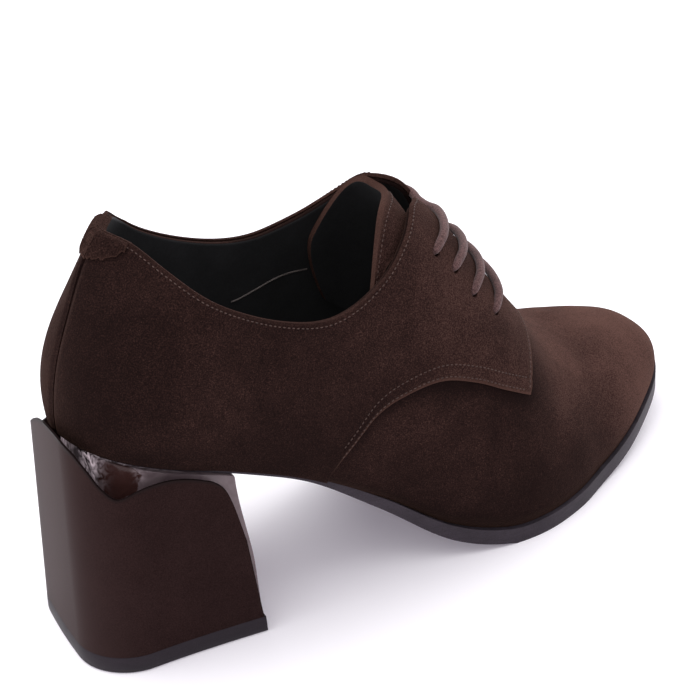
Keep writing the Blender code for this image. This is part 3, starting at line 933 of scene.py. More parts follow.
@dataclass(frozen=True)
class Stitching:
    """Rows of short stitches, each a small rounded grain of thread."""

    length: float = 1.0
    pitch: float = 1.55
    width: float = 0.42
    height: float = 0.36

    def sew(self, bm: Mesh, path: Array, out: Array) -> None:
        """Lays stitches along a path.

        Args:
            bm: The mesh that takes the stitches.
            path: Points of the row, in millimetres.
            out: The direction that the surface faces at each point.
        """
        way = run_lengths(path, 0)
        for along in np.arange(self.pitch / 2, way[-1] - self.pitch / 2, self.pitch):
            near = [np.array([np.interp(s, way, path[:, k]) for k in range(3)])
                    for s in (along - self.length / 2, along, along + self.length / 2)]
            normal = np.array([np.interp(along, way, out[:, k]) for k in range(3)])
            ahead = Vector(near[2] - near[0]).normalized()
            above = Vector(normal).normalized()
            across = above.cross(ahead).normalized()
            above = ahead.cross(across)
            turn = Matrix((ahead, across, above)).transposed()
            size = Matrix.Diagonal(Vector((self.length, self.width, self.height)) * MM / 2)
            place = Matrix.Translation(scene_places(near[1])) @ (turn @ size).to_4x4()
            bmesh.ops.create_uvsphere(bm, u_segments=6, v_segments=4, radius=1.0, matrix=place)


STITCHING = Stitching()


@dataclass(frozen=True)
class Crease:
    """A soft trough, or with a depth below 0 a ridge, between two places on one side."""

    start: tuple[float, float]
    end: tuple[float, float]
    depth: float
    width: float

    def sink(self, points: Array) -> Array:
        """How far the crease sinks the surface, seen from the side.

        Args:
            points: Points of the surface.

        Returns:
            The depth at each point.
        """
        flat = points[..., (0, 2)]
        start, way = np.array(self.start), np.subtract(self.end, self.start)
        share = np.clip(np.sum((flat - start) * way, -1) / np.dot(way, way), 0, 1)
        near = start + share[..., None] * way
        fade = np.sin(np.clip(0.15 + 0.7 * share, 0, 1) * np.pi)
        return self.depth * fade * hump(np.linalg.norm(flat - near, axis=-1), self.width)


@dataclass(frozen=True)
class Eyelet:
    """A pair of punched holes, and where their bar of lace crosses the crown."""

    stations: dict[Side, float]
    halves: dict[Side, float]
    crown: float

    def turn(self, side: Side) -> Array:
        """The turn of one hole."""
        return LAST.turn_at_width(np.array(self.stations[side]), side.value, self.halves[side])


@dataclass(frozen=True)
class Eyelets:
    """The punched holes of the facings.

    Each row has a hole's station and half width on the outer side, the same on the inner side,
    and the station where the bar of lace crosses the crown.
    """

    rows: tuple[tuple[float, ...], ...] = (
        (125.0, 27.8, 131.5, 14.0, 138.0),
        (131.0, 29.0, 138.5, 15.0, 144.5),
        (136.0, 31.6, 144.5, 16.0, 149.0),
        (143.5, 32.4, 151.5, 17.0, 153.5),
    )
    radius: float = 1.65
    tool_length: float = 9.0

    def pairs(self) -> list[Eyelet]:
        """The pairs of holes from the top of the throat down."""
        return [Eyelet({Side.OUTER: outer_x, Side.INNER: inner_x},
                       {Side.OUTER: outer_half, Side.INNER: inner_half}, crown)
                for outer_x, outer_half, inner_x, inner_half, crown in self.rows]

    def cutter(self) -> Piece:
        """All holes as one tool for cutting.

        Returns:
            The tool, which is removed after use.
        """
        bm = bmesh.new()
        radius = self.radius * MM
        for pair in self.pairs():
            for side in Side:
                x, turn = np.array(pair.stations[side]), pair.turn(side)
                out = Vector(LAST.outward(x, turn, side.value))
                stand = out.to_track_quat("Z", "Y").to_matrix().to_4x4()
                stand.translation = scene_places(LAST.point(x, turn, side.value))
                bmesh.ops.create_cone(bm, cap_ends=True, segments=20, radius1=radius, radius2=radius,
                                      depth=self.tool_length * MM, matrix=stand)
        return put_in_scene("punch", finished("punch", bm))

    def punch(self, piece: Piece, tool: Piece) -> None:
        """Cuts the holes out of a piece and puts its modifiers into its mesh.

        Args:
            piece: The piece that gets the holes.
            tool: The tool for cutting.
        """
        cut = piece.modifiers.new("punch", "BOOLEAN")
        cut.operation = "DIFFERENCE"
        cut.object = tool
        cut.solver = "EXACT"
        graph = bpy.context.evaluated_depsgraph_get()
        mesh = bpy.data.meshes.new_from_object(piece.evaluated_get(graph))
        piece.modifiers.clear()
        piece.data = mesh


EYELETS = Eyelets()


@dataclass(frozen=True)
class FacingGap:
    """How the top of the inner facing stands off the tongue."""

    height: float = 2.2
    station: float = 135.0
    length: float = 4.5
    turns: float = 0.1

    def lift(self, x: Array, turn: Array, side: Side) -> Array:
        """How far a facing stands off.

        Args:
            x: Stations along the shoe.
            turn: Turns on the last.
            side: The facing's side; only the inner one stands off.

        Returns:
            The lift at each place.
        """
        if side is Side.OUTER:
            return np.zeros(np.broadcast(x, turn).shape)
        from_rim = LAST.rim_turn(x, side.value) - turn
        return self.height * hump(x - self.station, self.length) * hump(from_rim, self.turns)


FACING_GAP = FacingGap()


@dataclass(frozen=True)
class VampLightAndShade:
    """Painted light and shade on the vamp's suede, region by region: painted light on the top towards the
    toe, at the front and by the flap; painted shade low down, under the quarters' edge, beside the flap and
    in a dark line along the sole; darker behind the toe.
    """

    high: float = 0.34
    front: float = 1.05
    lit_by_flap: float = 0.42
    low: float = 0.56
    shade_under_seam: float = 0.7
    shade_beside_flap: float = 0.15
    behind_toe: float = 0.46
    feather: float = 0.9

    def at(self, points: Array) -> Array:
        """The painted light and shade, lighter above 0.

        Args:
            points: Points of the vamp.

        Returns:
            The painted light and shade at each point.
        """
        x, z = points[..., 0], points[..., 2]
        toe = rise(x, 150.0, 42.0)
        high = rise(z, 14.0, 24.0)
        front = rise(x, 180.0, 38.0)
        low = (1 - rise(z, 8.0, 28.0)) * (1 - 0.7 * front)
        shade_under_seam = hump(np.maximum(0, SEAM["height"](x) - z), 4.0) * rise(x, 84.0, 6.0)
        shade_under_seam = shade_under_seam * (1 - rise(x, 150.0, 8.0))
        shade_beside_flap = hump(x - 156.0, 6.0) * hump(z - 40.0, 10.0)
        feather = hump(z - SECTIONS["feather"](x), 1.0)
        lit_by_flap = hump(x - 179.0, 13.0) * rise(z, 30.0, 14.0)
        # Painted shade low down, under the quarters' edge, beside the flap and along the sole, and darker
        # behind the toe.
        dark = (self.low * low + self.shade_under_seam * shade_under_seam + self.shade_beside_flap * shade_beside_flap
                + self.behind_toe * (1 - toe) + self.feather * feather)
        # Painted light on the top towards the toe, at the front and by the flap.
        light = self.high * high * toe + self.front * front * (1 - 0.5 * high) + self.lit_by_flap * lit_by_flap
        return light - dark


@dataclass(frozen=True)
class Upper:
    """The hollow upper, suede outside and lining inside, with the vamp's soft creases."""

    wall: float = 1.45
    rows: int = 44
    # The vamp's painted light and shade, kept in its nap attribute.
    nap: VampLightAndShade = VampLightAndShade()
    seam_from: float = 84.0
    seam_to: float = 113.0
    seam_low: float = 0.134
    seam_rise: float = 0.142
    seam_reach: float = 27.0
    seam_radius: float = 0.32
    creases: tuple[Crease, ...] = (
        Crease((166.0, 57.0), (180.0, 43.0), 0.7, 4.0),
        Crease((160.0, 49.0), (176.0, 33.0), 0.9, 5.0),
        Crease((151.0, 46.0), (164.0, 22.0), 0.6, 6.0),
        Crease((172.0, 50.0), (188.0, 38.0), -0.5, 4.0),
    )

    def stations(self) -> Array:
        """Places along the shoe, crowded where it is most curved.

        Returns:
            The places from the heel's back to the toe.
        """
        back = crowded(LAST.heel_round, LAST.heel_back, 22)[::-1]
        collar = np.linspace(LAST.heel_round, LAST.facing_top, 56)[1:]
        throat = np.linspace(LAST.facing_top, LAST.throat_end, 36)[1:]
        vamp = crowded(LAST.throat_end, LAST.toe_tip, 54)[1:]
        return np.concatenate((back, collar, throat, vamp))

    def build(self, suede: Finish, lining: Finish) -> Piece:
        """The upper's wall.

        Args:
            suede: Finish of the outside and the rim.
            lining: Finish of the inside.

        Returns:
            The piece, whose wall is still a modifier.
        """
        bm = new_mesh()
        x = self.stations()[None, :]
        share = np.linspace(0, 1, self.rows + 1)[:, None]
        for side in Side:
            turn = share * LAST.rim_turn(x, side.value)
            points = LAST.at(x, turn, side.value)
            sink = sum(crease.sink(points) for crease in self.creases) - FACING_GAP.lift(x, turn, side)
            # The nap attribute holds the vamp's painted light and shade.
            sheet(bm, LAST.at(x, turn, side.value, -sink), {"nap": self.nap.at(points)})
        bmesh.ops.remove_doubles(bm, verts=bm.verts, dist=0.03 * MM)
        bmesh.ops.dissolve_degenerate(bm, edges=bm.edges, dist=0.005 * MM)
        bmesh.ops.recalc_face_normals(bm, faces=bm.faces)
        heart = Vector(scene_places(np.array((120.0, 0.0, 40.0))))
        if sum((face.calc_center_median() - heart).dot(face.normal) for face in bm.faces) < 0:
            bmesh.ops.reverse_faces(bm, faces=bm.faces)
        piece = make_piece("upper_wall", bm, [suede, lining], ("upper",))
        wall = piece.modifiers.new("wall", "SOLIDIFY")
        wall.thickness = self.wall * MM
        wall.offset = -1.0
        wall.use_even_offset = True
        wall.material_offset = 1
        wall.material_offset_rim = 0
        return piece

    def build_lining_seam(self, thread: Finish) -> Piece:
        """The raised seam of the lining, low on the inner wall.

        Args:
            thread: Finish of the seam.

        Returns:
            The piece.
        """
        x = np.linspace(self.seam_from, self.seam_to, 41)
        turn = self.seam_low + self.seam_rise * ((x - self.seam_from) / self.seam_reach) ** 1.2
        path = LAST.at(x, turn, np.full_like(x, Side.INNER.value), -self.wall)
        return make_piece("lining_seam", tube(path, self.seam_radius, 8), [thread])


def at_way(values: Array, way: Array, at: float) -> Array:
    """Reads a row of values at a length along it.

    Args:
        values: The row.
        way: The length at each value, which grows along the row.
        at: The length to read at.

    Returns:
        The value between its two neighbours.
    """
    spot = np.interp(at, way, np.arange(len(way)))
    low, part = int(spot), spot - int(spot)
    high = min(low + 1, len(way) - 1)
    return values[low] * (1 - part) + values[high] * part


@dataclass(frozen=True)
class Quarter:
    """One quarter: the panel from the back seam to the flap that carries the punched holes."""

    side: Side
    lift: float = 1.65
    rest: float = 0.06
    apart: float = 0.12
    rounding: float = 0.35
    foot: float = 81.0
    corner: float = 150.0
    collar_end: float = 126.0
    collar_sewn_to: float = 131.0
    columns: int = 140
    rows: int = 64
    edge_row: float = 1.3
    second_row: float = 5.2
    collar_row: float = 1.45
    front_row: float = 1.5
    front_painted_light: float = 0.5
    all_dark: float = 0.44
    back_painted_shade: float = 0.26
    low_painted_shade: float = 0.42

    def lattice(self) -> tuple[Array, Array]:
        """The panel's lattice, from low to high and back to front.

        Returns:
            Stations and turns.
        """
        t = np.linspace(0, 1, self.columns + 1)
        eased = np.where(t < 0.5, 1 - np.cos(t * np.pi / 2), t)
        share = eased + (t - eased) * ease(2 * t)
        low_x = LAST.heel_back + (self.corner - LAST.heel_back) * share
        height = SECTIONS["feather"](low_x) + 0.6
        height = np.where(low_x > self.foot, np.maximum(height, SEAM["height"](low_x)), height)
        low_turn = LAST.turn_at_height(low_x, height)
        high_x = LAST.heel_back + (LAST.throat_end - 1.5 - LAST.heel_back) * share
        high_turn = LAST.rim_turn(high_x, self.side.value, 0.6)
        v = np.linspace(0, 1, self.rows + 1)[:, None]
        return low_x + (high_x - low_x) * v, low_turn + (high_turn - low_turn) * v

    def place(self, x: Array, turn: Array, lift: Array | float) -> Array:
        """Points of the panel, a hair off the middle so that the two quarters keep apart."""
        return LAST.at(x, turn, self.side.value, lift) + np.array((0.0, self.side.value * self.apart, 0.0))

    def build(self, suede: Finish, thread: Finish) -> list[Piece]:
        """The panel and its stitching.

        Args:
            suede: Finish of the panel.
            thread: Finish of the stitches.

        Returns:
            The panel and the stitching, in that order.
        """
        x, turn = self.lattice()
        base = self.place(x, turn, self.lift)
        from_low, from_back = run_lengths(base, 0), run_lengths(base, 1)
        from_top, from_front = from_low[-1:] - from_low, from_back[:, -1:] - from_back
        sewn = rise(x[:1], self.foot, 5.0)
        collar = 1 - rise(x[-1:], self.collar_end, 6.0)
        raised = FACING_GAP.lift(x, turn, self.side)
        grooves = (
            (from_low, 0.0, 0.45, 1.1, sewn),
            (from_front, 0.0, 0.35, 1.1, 1.0),
            (from_low, self.edge_row, 0.16, 0.5, sewn),
            (from_low, self.second_row, 0.22, 0.7, sewn),
            (from_front, self.front_row, 0.18, 0.5, 1.0),
            (from_top, self.collar_row, 0.12, 0.6, collar),
            (from_top, 0.0, 0.5, 0.9, 1.0),
            (from_back, 0.0, 0.5, 1.0, 1.0),
        )
        lift = self.lift + raised
        for way, at, depth, width, share in grooves:
            lift = lift - depth * hump(way - at, width) * share
        trim = hump(from_low, 0.8) * sewn * 0.75 + hump(from_front, 0.7) * 0.5 + hump(from_top, 0.9) * 0.1
        # The nap attribute carries the quarter's painted light and shade.
        fields = {"trim": np.clip(trim, 0, 1), "nap": self.nap(base)}
        bm = slab(self.place(x, turn, lift), self.place(x, turn, self.rest + raised), self.rounding, fields)
        name = "quarter_outer" if self.side is Side.OUTER else "quarter_inner"
        panel = make_piece(name + "_panel", bm, [suede], (name,))
        sewing = self.sew(x, turn, lift, from_low, from_front)
        return [panel, make_piece(name + "_stitching", sewing, [thread])]

    def nap(self, points: Array) -> Array:
        """Painted light and shade on the quarter's suede: painted light by the ankle, painted shade low at
        the heel and at its back, over a darker tone all over.

        Args:
            points: Points of the panel.

        Returns:
            The painted light and shade at each point, lighter above 0.
        """
        x, z = points[..., 0], points[..., 2]
        front = rise(x, 78.0, 45.0)
        back = 1 - rise(x, 14.0, 34.0)
        low = (1 - rise(z, 50.0, 34.0)) * (1 - front)
        # Painted light by the ankle, painted shade at the back and low at the heel, over a darker tone.
        return self.front_painted_light * front - self.all_dark - self.back_painted_shade * back - self.low_painted_shade * low

    def sew(self, x: Array, turn: Array, lift: Array, from_low: Array, from_front: Array) -> Mesh:
        """The rows of stitches along the seam, the collar and the flap's front.

        Args:
            x: Stations of the panel's lattice.
            turn: Turns of the panel's lattice.
            lift: How far the panel's face stands off the last.
            from_low: Way from the lower edge.
            from_front: Way from the front edge.

        Returns:
            The stitches' mesh.
        """
        places = self.place(x, turn, lift + 0.06)
        out = LAST.outward(*np.broadcast_arrays(x, turn, np.full_like(x, self.side.value)))
        both = np.concatenate((places, out), axis=-1)
        columns = range(x.shape[1])
        seam = [c for c in columns if x[0, c] > self.foot + 3.0 and from_front[0, c] > self.front_row]
        collar = [c for c in columns[3:] if x[-1, c] < self.collar_sewn_to]
        height = from_low[:, -1]
        front = [r for r in range(x.shape[0]) if height[r] >= self.edge_row and height[-1] - height[r] >= 4.0]
        lines = [[at_way(both[:, c], from_low[:, c], at) for c in seam]
                 for at in (self.edge_row, self.second_row)]
        lines.append([at_way(both[:, c], from_low[:, c], from_low[-1, c] - self.collar_row) for c in collar])
        lines.append([at_way(both[r], -from_front[r], -self.front_row) for r in front])
        bm = bmesh.new()
        for line in lines:
            line = np.array(line)
            STITCHING.sew(bm, line[:, :3], line[:, 3:])
        return bm


@dataclass(frozen=True)
class Tongue:
    """The wide tongue under the facings, suede outside and lined inside."""

    top_x: float = 126.2
    outer_x: float = 97.4
    inner_x: float = 106.0
    low_x: float = 180.0
    low_bow: float = 3.0
    outer_power: float = 1.55
    inner_power: float = 2.2
    corner: float = 12.0
    corner_from: float = 0.8
    corner_width: float = 0.2
    top_half: float = 34.0
    low_half: float = 14.0
    edge_height: float = 90.0
    edge_slope: float = 0.9
    inner_lower: float = 4.0
    depth: float = 2.6
    dip: float = 3.4
    dip_x: float = 137.0
    dip_length: float = 8.0
    thick: float = 2.2
    rounding: float = 0.8
    groove: float = 0.15
    groove_row: float = 2.2
    nap: float = 0.12
    stitch_row: int = 2
    rows: int = 52
    columns: int = 72

    def build(self, suede: Finish, lining: Finish, thread: Finish) -> list[Piece]:
        """The tongue and the row of stitches along its rim.

        Args:
            suede: Finish of the outside and the rim.
            lining: Finish of the inside.
            thread: Finish of the stitches.

        Returns:
            The tongue and its stitching.
        """
        v = np.linspace(0, 1, self.rows + 1)[:, None]
        c = np.linspace(-1, 1, self.columns + 1)[None, :]
        side = side_of(c)
        side_x = np.where(c < 0, self.outer_x, self.inner_x)
        power = np.where(c < 0, self.outer_power, self.inner_power)
        start = self.top_x + (side_x - self.top_x) * np.abs(c) ** power
        start = start + self.corner * np.maximum(0, (c - self.corner_from) / self.corner_width) ** 2
        x = start + (self.low_x - self.low_bow * c * c - start) * v
        half = self.top_half + (self.low_half - self.top_half) * v
        height = self.edge_height - self.inner_lower * (c > 0) - self.edge_slope * (x - self.outer_x)
        edge = np.maximum(LAST.turn_at_width(x, side, half), LAST.turn_at_height(x, height))
        turn = 1 - np.abs(c) * (1 - edge)
        side = np.broadcast_to(side, x.shape)
        depth = self.depth + self.dip * hump(x - self.dip_x, self.dip_length) * rise(c, -0.8, 0.4)
        base = LAST.at(x, turn, side, -depth)
        from_top, from_left = run_lengths(base, 0), run_lengths(base, 1)
        rim = np.minimum(from_top, np.minimum(from_left, from_left[:, -1:] - from_left))
        fields = {"trim": 0.4 * hump(rim, 1.0), "nap": np.full(x.shape, self.nap)}
        sink = self.groove * hump(rim - self.groove_row, 0.6)
        outer = LAST.at(x, turn, side, -depth - sink)
        inner = LAST.at(x, turn, side, -depth - self.thick)
        bm = slab(outer, inner, self.rounding, fields, inner_slot=1)
        piece = make_piece("tongue_sheet", bm, [suede, lining], ("tongue",))
        out = LAST.outward(x, turn, side)
        sewing = bmesh.new()
        STITCHING.sew(sewing, outer[self.stitch_row, 2:-2], out[self.stitch_row, 2:-2])
        return [piece, make_piece("tongue_stitching", sewing, [thread])]


@dataclass(frozen=True)
class BackTab:
    """The rounded patch of long nap folded over the top of the back seam."""

    reach: float = 17.0
    depth: float = 6.6
    least_depth: float = 1.8
    round_power: float = 2.4
    low: float = 1.7
    edge: float = 0.5
    high: float = 3.0
    over: float = 0.5
    fold: float = 2.2
    inside_from: float = 1.4
    inside: float = -1.7
    rounding: float = 0.3
    nap: float = -0.5
    columns: int = 26
    rows: int = 30

    def build(self, suede: Finish) -> Piece:
        """The patch, with its ruffled edge and its top folded over the collar.

        Args:
            suede: Finish of the patch.

        Returns:
            The piece.
        """
        c = np.linspace(-1, 1, 2 * self.columns + 1)[None, :]
        side = side_of(c)
        x = LAST.heel_back + (self.reach - LAST.heel_back) * c * c
        rim = np.where(c < 0, COLLAR["outer"](x), COLLAR["inner"](x)) + self.over
        arch = np.sqrt(np.maximum(0, 1 - np.abs(c) ** self.round_power))
        drop = np.maximum(self.least_depth, self.depth * arch)
        ruffle = 0.25 * np.sin(c * 31.0) + 0.2 * np.sin(c * 53.0 + 1.0)
        v = np.linspace(0, 1, self.rows + 1)[:, None]
        low = rim - drop - self.over + ruffle * np.minimum(1, drop / 4)
        turn = LAST.turn_at_height(x, low + (rim - low) * v)
        x, side = np.broadcast_to(x, turn.shape), np.broadcast_to(side, turn.shape)
        from_top = (1 - v) * (rim - low)
        fold = np.sqrt(np.clip(1 - (1 - np.clip(from_top / self.fold, 0, 1)) ** 2, 0, 1))
        rough = 0.16 * np.sin(x * 9 + v * 21) * np.sin(v * 33 + c * 17)
        outer = self.edge + (self.high - self.edge) * fold - 0.5 * hump(v, 0.1) + rough * fold
        inner = np.where(from_top < self.inside_from, self.inside, self.low)
        trim = np.broadcast_to(0.4 * hump(v, 0.06), turn.shape)
        fields = {"trim": trim, "nap": np.full(turn.shape, self.nap)}
        bm = slab(LAST.at(x, turn, side, outer), LAST.at(x, turn, side, inner), self.rounding, fields)
        return make_piece("back_tab_patch", bm, [suede], ("back_tab",))


@dataclass(frozen=True)
class Bottom:
    """The outsole and the covered insole."""

    flat_from: float = 140.0
    flat_to: float = 168.0
    seat_gap: float = 0.12
    sole_seat: float = 0.3
    sole_back: float = 5.0
    sole_front: float = 0.2
    sole_rounding: float = 0.55
    insole_thick: float = 2.2
    insole_back: float = 5.6
    insole_front: float = 7.0
    insole_inset: float = 2.0
    insole_toe: float = 200.0
    insole_toe_share: float = 0.96
    insole_rounding: float = 0.6
    rows: int = 18

    def underside(self, x: Array) -> Array:
        """Height of the outsole's underside, flat on the floor under the ball."""
        low = np.maximum(0, SECTIONS["feather"](x) - self.sole_seat - SOLE["thick"](x))
        return np.where((x >= self.flat_from) & (x <= self.flat_to), 0.0, low)

    def spread(self, x: Array, halves: dict[Side, Array], z: Array) -> Array:
        """A lattice across the shoe.

        Args:
            x: Stations along the shoe.
            halves: Half widths on each side.
            z: Heights.

        Returns:
            The lattice's points.
        """
        v = np.linspace(0, 1, self.rows + 1)[:, None]
        axis = SECTIONS["axis"](x)
        y = (axis - halves[Side.OUTER]) * (1 - v) + (axis + halves[Side.INNER]) * v
        return np.stack(np.broadcast_arrays(x, y, z), -1)

    def build_outsole(self, rubber: Finish) -> Piece:
        """The outsole, from the heel seat over the arch to the toe.

        Args:
            rubber: Finish of the sole.

        Returns:
            The piece.
        """
        x = slab_stations(LAST.heel_back + self.sole_back, LAST.toe_tip - self.sole_front, 150)[None, :]
        halves = {side: np.maximum(1.0, LAST.width(x, side.value) + SOLE["edge"](x)) for side in Side}
        top = self.spread(x, halves, SECTIONS["feather"](x) - self.seat_gap)
        bm = slab(top, self.spread(x, halves, self.underside(x)), self.sole_rounding)
        return make_piece("outsole_unit", bm, [rubber], ("outsole",))

    def build_insole(self, cover: Finish) -> Piece:
        """The covered insole that the foot stands on.

        Args:
            cover: Finish of the insole.

        Returns:
            The piece.
        """
        x = slab_stations(LAST.heel_back + self.insole_back, LAST.toe_tip - self.insole_front, 110)[None, :]
        taper = np.where(x < self.insole_toe, 1.0, self.insole_toe_share)
        halves = {}
        for side in Side:
            room = LAST.width(x, side.value) - LAST.tuck(x, side.value) - self.insole_inset
            halves[side] = np.maximum(0.8, room * taper)
        low = SECTIONS["feather"](x)
        top = self.spread(x, halves, low + self.insole_thick)
        bm = slab(top, self.spread(x, halves, low), self.insole_rounding)
        return make_piece("insole_sock", bm, [cover], ("insole",))


@dataclass(frozen=True)
class Spot:
    """A soft spot on the heel's core, by the share of the way round it and by height."""

    share: float
    wide: float
    height: float
    high: float
    strength: float = 1.0

    def at(self, share: Array, z: Array) -> Array:
        """How strong the spot is at each place."""
        return self.strength * hump(share - self.share, self.wide) * hump(z - self.height, self.high)


@dataclass(frozen=True)
class Heel:
    """The block heel: clear core, wrapped cover with its wavy top, and rubber top piece."""

    height: float = 80.0
    back: tuple[float, float] = (2.6, 7.7)
    front: tuple[float, float] = (55.9, 53.8)
    half: tuple[float, float] = (29.8, 28.3)
    corner: float = 17.0
    skew: float = math.radians(5.0)
    pivot: float = 28.0
    flare: float = 2.6
    bulge: float = 2.0
    lift_height: float = 6.0
    gap: float = 0.1
    shell_wall: float = 2.0
    shell_rounding: float = 0.15
    shell_front: float = 0.6
    shell_lean: float = 2.6
    shell_lean_height: float = 40.0
    rim_share: float = 0.32
    rim_gain: float = 0.68
    rim_taper: float = 4.0
    side_length: float = 95.0
    # Strength and spread of the painted highlight on the cover.
    sheen: float = 0.86
    painted_sheen_from: float = 0.38
    painted_sheen_reach: float = 0.62
    core_inset: float = 2.7
    core_back: float = 4.0
    core_room: float = 0.8
    core_rounding: float = 0.5
    core_gap: float = 0.2
    shell_columns: int = 120
    shell_rows: int = 40
    shell_crowding: float = 1.6
    core_columns: int = 120
    core_rows: int = 30
    core_breast_steps: int = 24
    lift_columns: int = 140
    lift_breast_steps: int = 20
    # Where the brown hollow is painted on the core as a refraction, and where its glints are painted in as
    # glow.
    hollow: Spot = Spot(0.32, 0.075, 63.5, 8.0)
    painted_glints: tuple[Spot, ...] = (Spot(0.42, 0.05, 71.0, 8.0, 0.85), Spot(0.262, 0.012, 66.0, 3.0, 0.3))
    lift_profile: tuple[tuple[float, float], ...] = (
        (0.0, 0.9), (0.25, 0.35), (0.8, 0.05), (3.0, 0.0), (5.5, 0.0), (5.9, 0.15), (6.0, 0.45),
    )

    def plan(self, share: Array, z: Array, inset: float = 0.0, retreat: Array | float = 0.0) -> Array:
        """Points of the heel's outline.

        Args:
            share: 0 at the outer front round the back to 1 at the inner front.
            z: Heights.
            inset: How far inside the outline.
            retreat: How far behind the heel's breast the front lies.

        Returns:
            Points in the maker's frame.
        """
        share, z = np.broadcast_arrays(share, z)
        climb = z / self.height
        half = self.half[0] + (self.half[1] - self.half[0]) * climb - inset
        back = self.back[0] + (self.back[1] - self.back[0]) * climb + inset
        front = self.front[0] + (self.front[1] - self.front[0]) * climb - retreat
        corner = self.corner - inset
        straight, arc = front - back - corner, corner * np.pi / 2
        way = np.minimum(share, 1 - share) * (2 * (straight + arc) + 2 * (half - corner))
        angle = np.clip((way - straight) / corner, 0, np.pi / 2)
        x = np.where(way <= straight, front - way, back + corner - corner * np.sin(angle))
        y = -half + corner - corner * np.cos(angle) + np.maximum(0, way - straight - arc)
        x = x - self.bulge * np.where(way > straight, 1 - (y / half) ** 2, 0)
        y = y - self.flare * np.clip(1 - way / straight, 0, 1) ** 1.5
        y = np.where(share > 0.5, -y, y)
        along = x - self.pivot
        turned_x = self.pivot + along * math.cos(self.skew) + y * math.sin(self.skew)
        turned_y = y * math.cos(self.skew) - along * math.sin(self.skew)
        return np.stack((turned_x, turned_y, z), -1)

    def closed(self, points: Array, steps: int) -> Array:
        """Closes rings of the outline along the heel's flat breast.

        Args:
            points: Rows of points from the outer front round the back to the inner front.
            steps: Steps across the breast.

        Returns:
            The rows, each back at its start.
        """
        breast = np.linspace(0, 1, steps + 1)[None, 1:-1, None]
        start, end = points[:, -1:], points[:, :1]
        return np.concatenate((points, start + (end - start) * breast, end), axis=1)

    def build_shell(self, cover: Finish) -> Piece:
        """The wrapped cover with its wavy top edge.

        Args:
            cover: Finish of the cover.

        Returns:
            The piece.
        """
        near = 0.5 * np.linspace(0, 1, self.shell_columns + 1) ** self.shell_crowding
        share = np.concatenate((near, 1 - near[-2::-1]))[None, :]
        low = self.lift_height + self.gap
        way = 2 * np.minimum(share, 1 - share)
        top = np.where(share < 0.5, HEEL_WAVE["outer"](way), HEEL_WAVE["inner"](way))
        v = np.linspace(0, 1, self.shell_rows + 1)[:, None]
        z = low + (top - low) * v
        above = np.maximum(0, z - self.lift_height)
        retreat = self.shell_front + self.shell_lean * above / self.shell_lean_height
        outer = self.plan(share, z, 0.0, retreat)
        from_rim = np.minimum((1 - v) * (top - low), self.side_length * way)
        wall = self.rim_share + self.rim_gain * ease(from_rim / self.rim_taper)
        inner = outer + (self.plan(share, z, self.shell_wall, retreat) - outer) * wall[..., None]
        # Painted highlight: the cover's colour grows lighter towards its back.
        sheen = np.broadcast_to(self.sheen * rise(way, self.painted_sheen_from, self.painted_sheen_reach), z.shape)
        bm = slab(outer, inner, self.shell_rounding, {"trim": hump(from_rim, 0.22), "sheen": sheen})
        return make_piece("heel_cover_wrap", bm, [cover], ("heel_shell",))

    def seat(self, share: Array) -> Array:
        """Outline of the seat under the upper.

        Args:
            share: 0 at the outer front round the back to 1 at the inner front.

        Returns:
            Its places seen from above.
        """
        points = self.plan(share, np.full_like(share, self.height), self.core_inset)
        back, front = LAST.heel_back + self.core_back, self.front[1]
        x = back + (points[..., 0] - self.back[1]) * (front - back) / (front - self.back[1])
        side = side_of(points[..., 1])
        room = LAST.width(x, side) - LAST.tuck(x, side) - self.core_room
        return np.stack((x, np.clip(points[..., 1], -room, room)), -1)

    def build_core(self, clear: Finish, bottom: Bottom) -> Piece:
        """The clear block inside the cover, which shows between cover and upper.

        Args:
            clear: Finish of the block.
            bottom: The sole that lies on it.

        Returns:
            The piece.
        """
        share = np.linspace(0, 1, self.core_columns + 1)[None, :]
        v = np.linspace(0, 1, self.core_rows + 1)[:, None]
        seat = self.seat(share)
        low = self.lift_height + self.gap
        z = low + (bottom.underside(seat[..., 0]) - self.core_gap - low) * v
        points = self.plan(share, z, self.core_inset)
        points[..., :2] += (seat - points[..., :2]) * ease(1.6 * v - 0.6)[..., None]
        ring = self.closed(points, self.core_breast_steps)
        way = np.concatenate((np.minimum(share, 1 - share)[0], np.zeros(self.core_breast_steps)))
        z = ring[..., 2]
        bm = bmesh.new()
        # Painted glow of the glints, and the painted refraction of the hollow, kept as attributes.
        painted_glow = sum(spot.at(way, z) for spot in self.painted_glints)
        sheet(bm, ring, {"hollow": self.hollow.at(way, z), "painted_glow": painted_glow})
        round_edges(bm, close_ends(bm, 0.01), self.core_rounding)
        return make_piece("heel_core_block", bm, [clear], ("heel_core",), 35.0)

    def build_top_piece(self, rubber: Finish) -> Piece:
        """The rubber top piece that the heel stands on.

        Args:
            rubber: Finish of the top piece.

        Returns:
            The piece.
        """
        share = np.linspace(0, 1, self.lift_columns + 1)[None, :]
        rows = [self.plan(share, np.full((1, 1), height), inset) for height, inset in self.lift_profile]
        bm = bmesh.new()
        sheet(bm, self.closed(np.concatenate(rows), self.lift_breast_steps))
        close_ends(bm, 0.01)
        return make_piece("heel_lift", bm, [rubber], ("heel_top_piece",), 30.0)


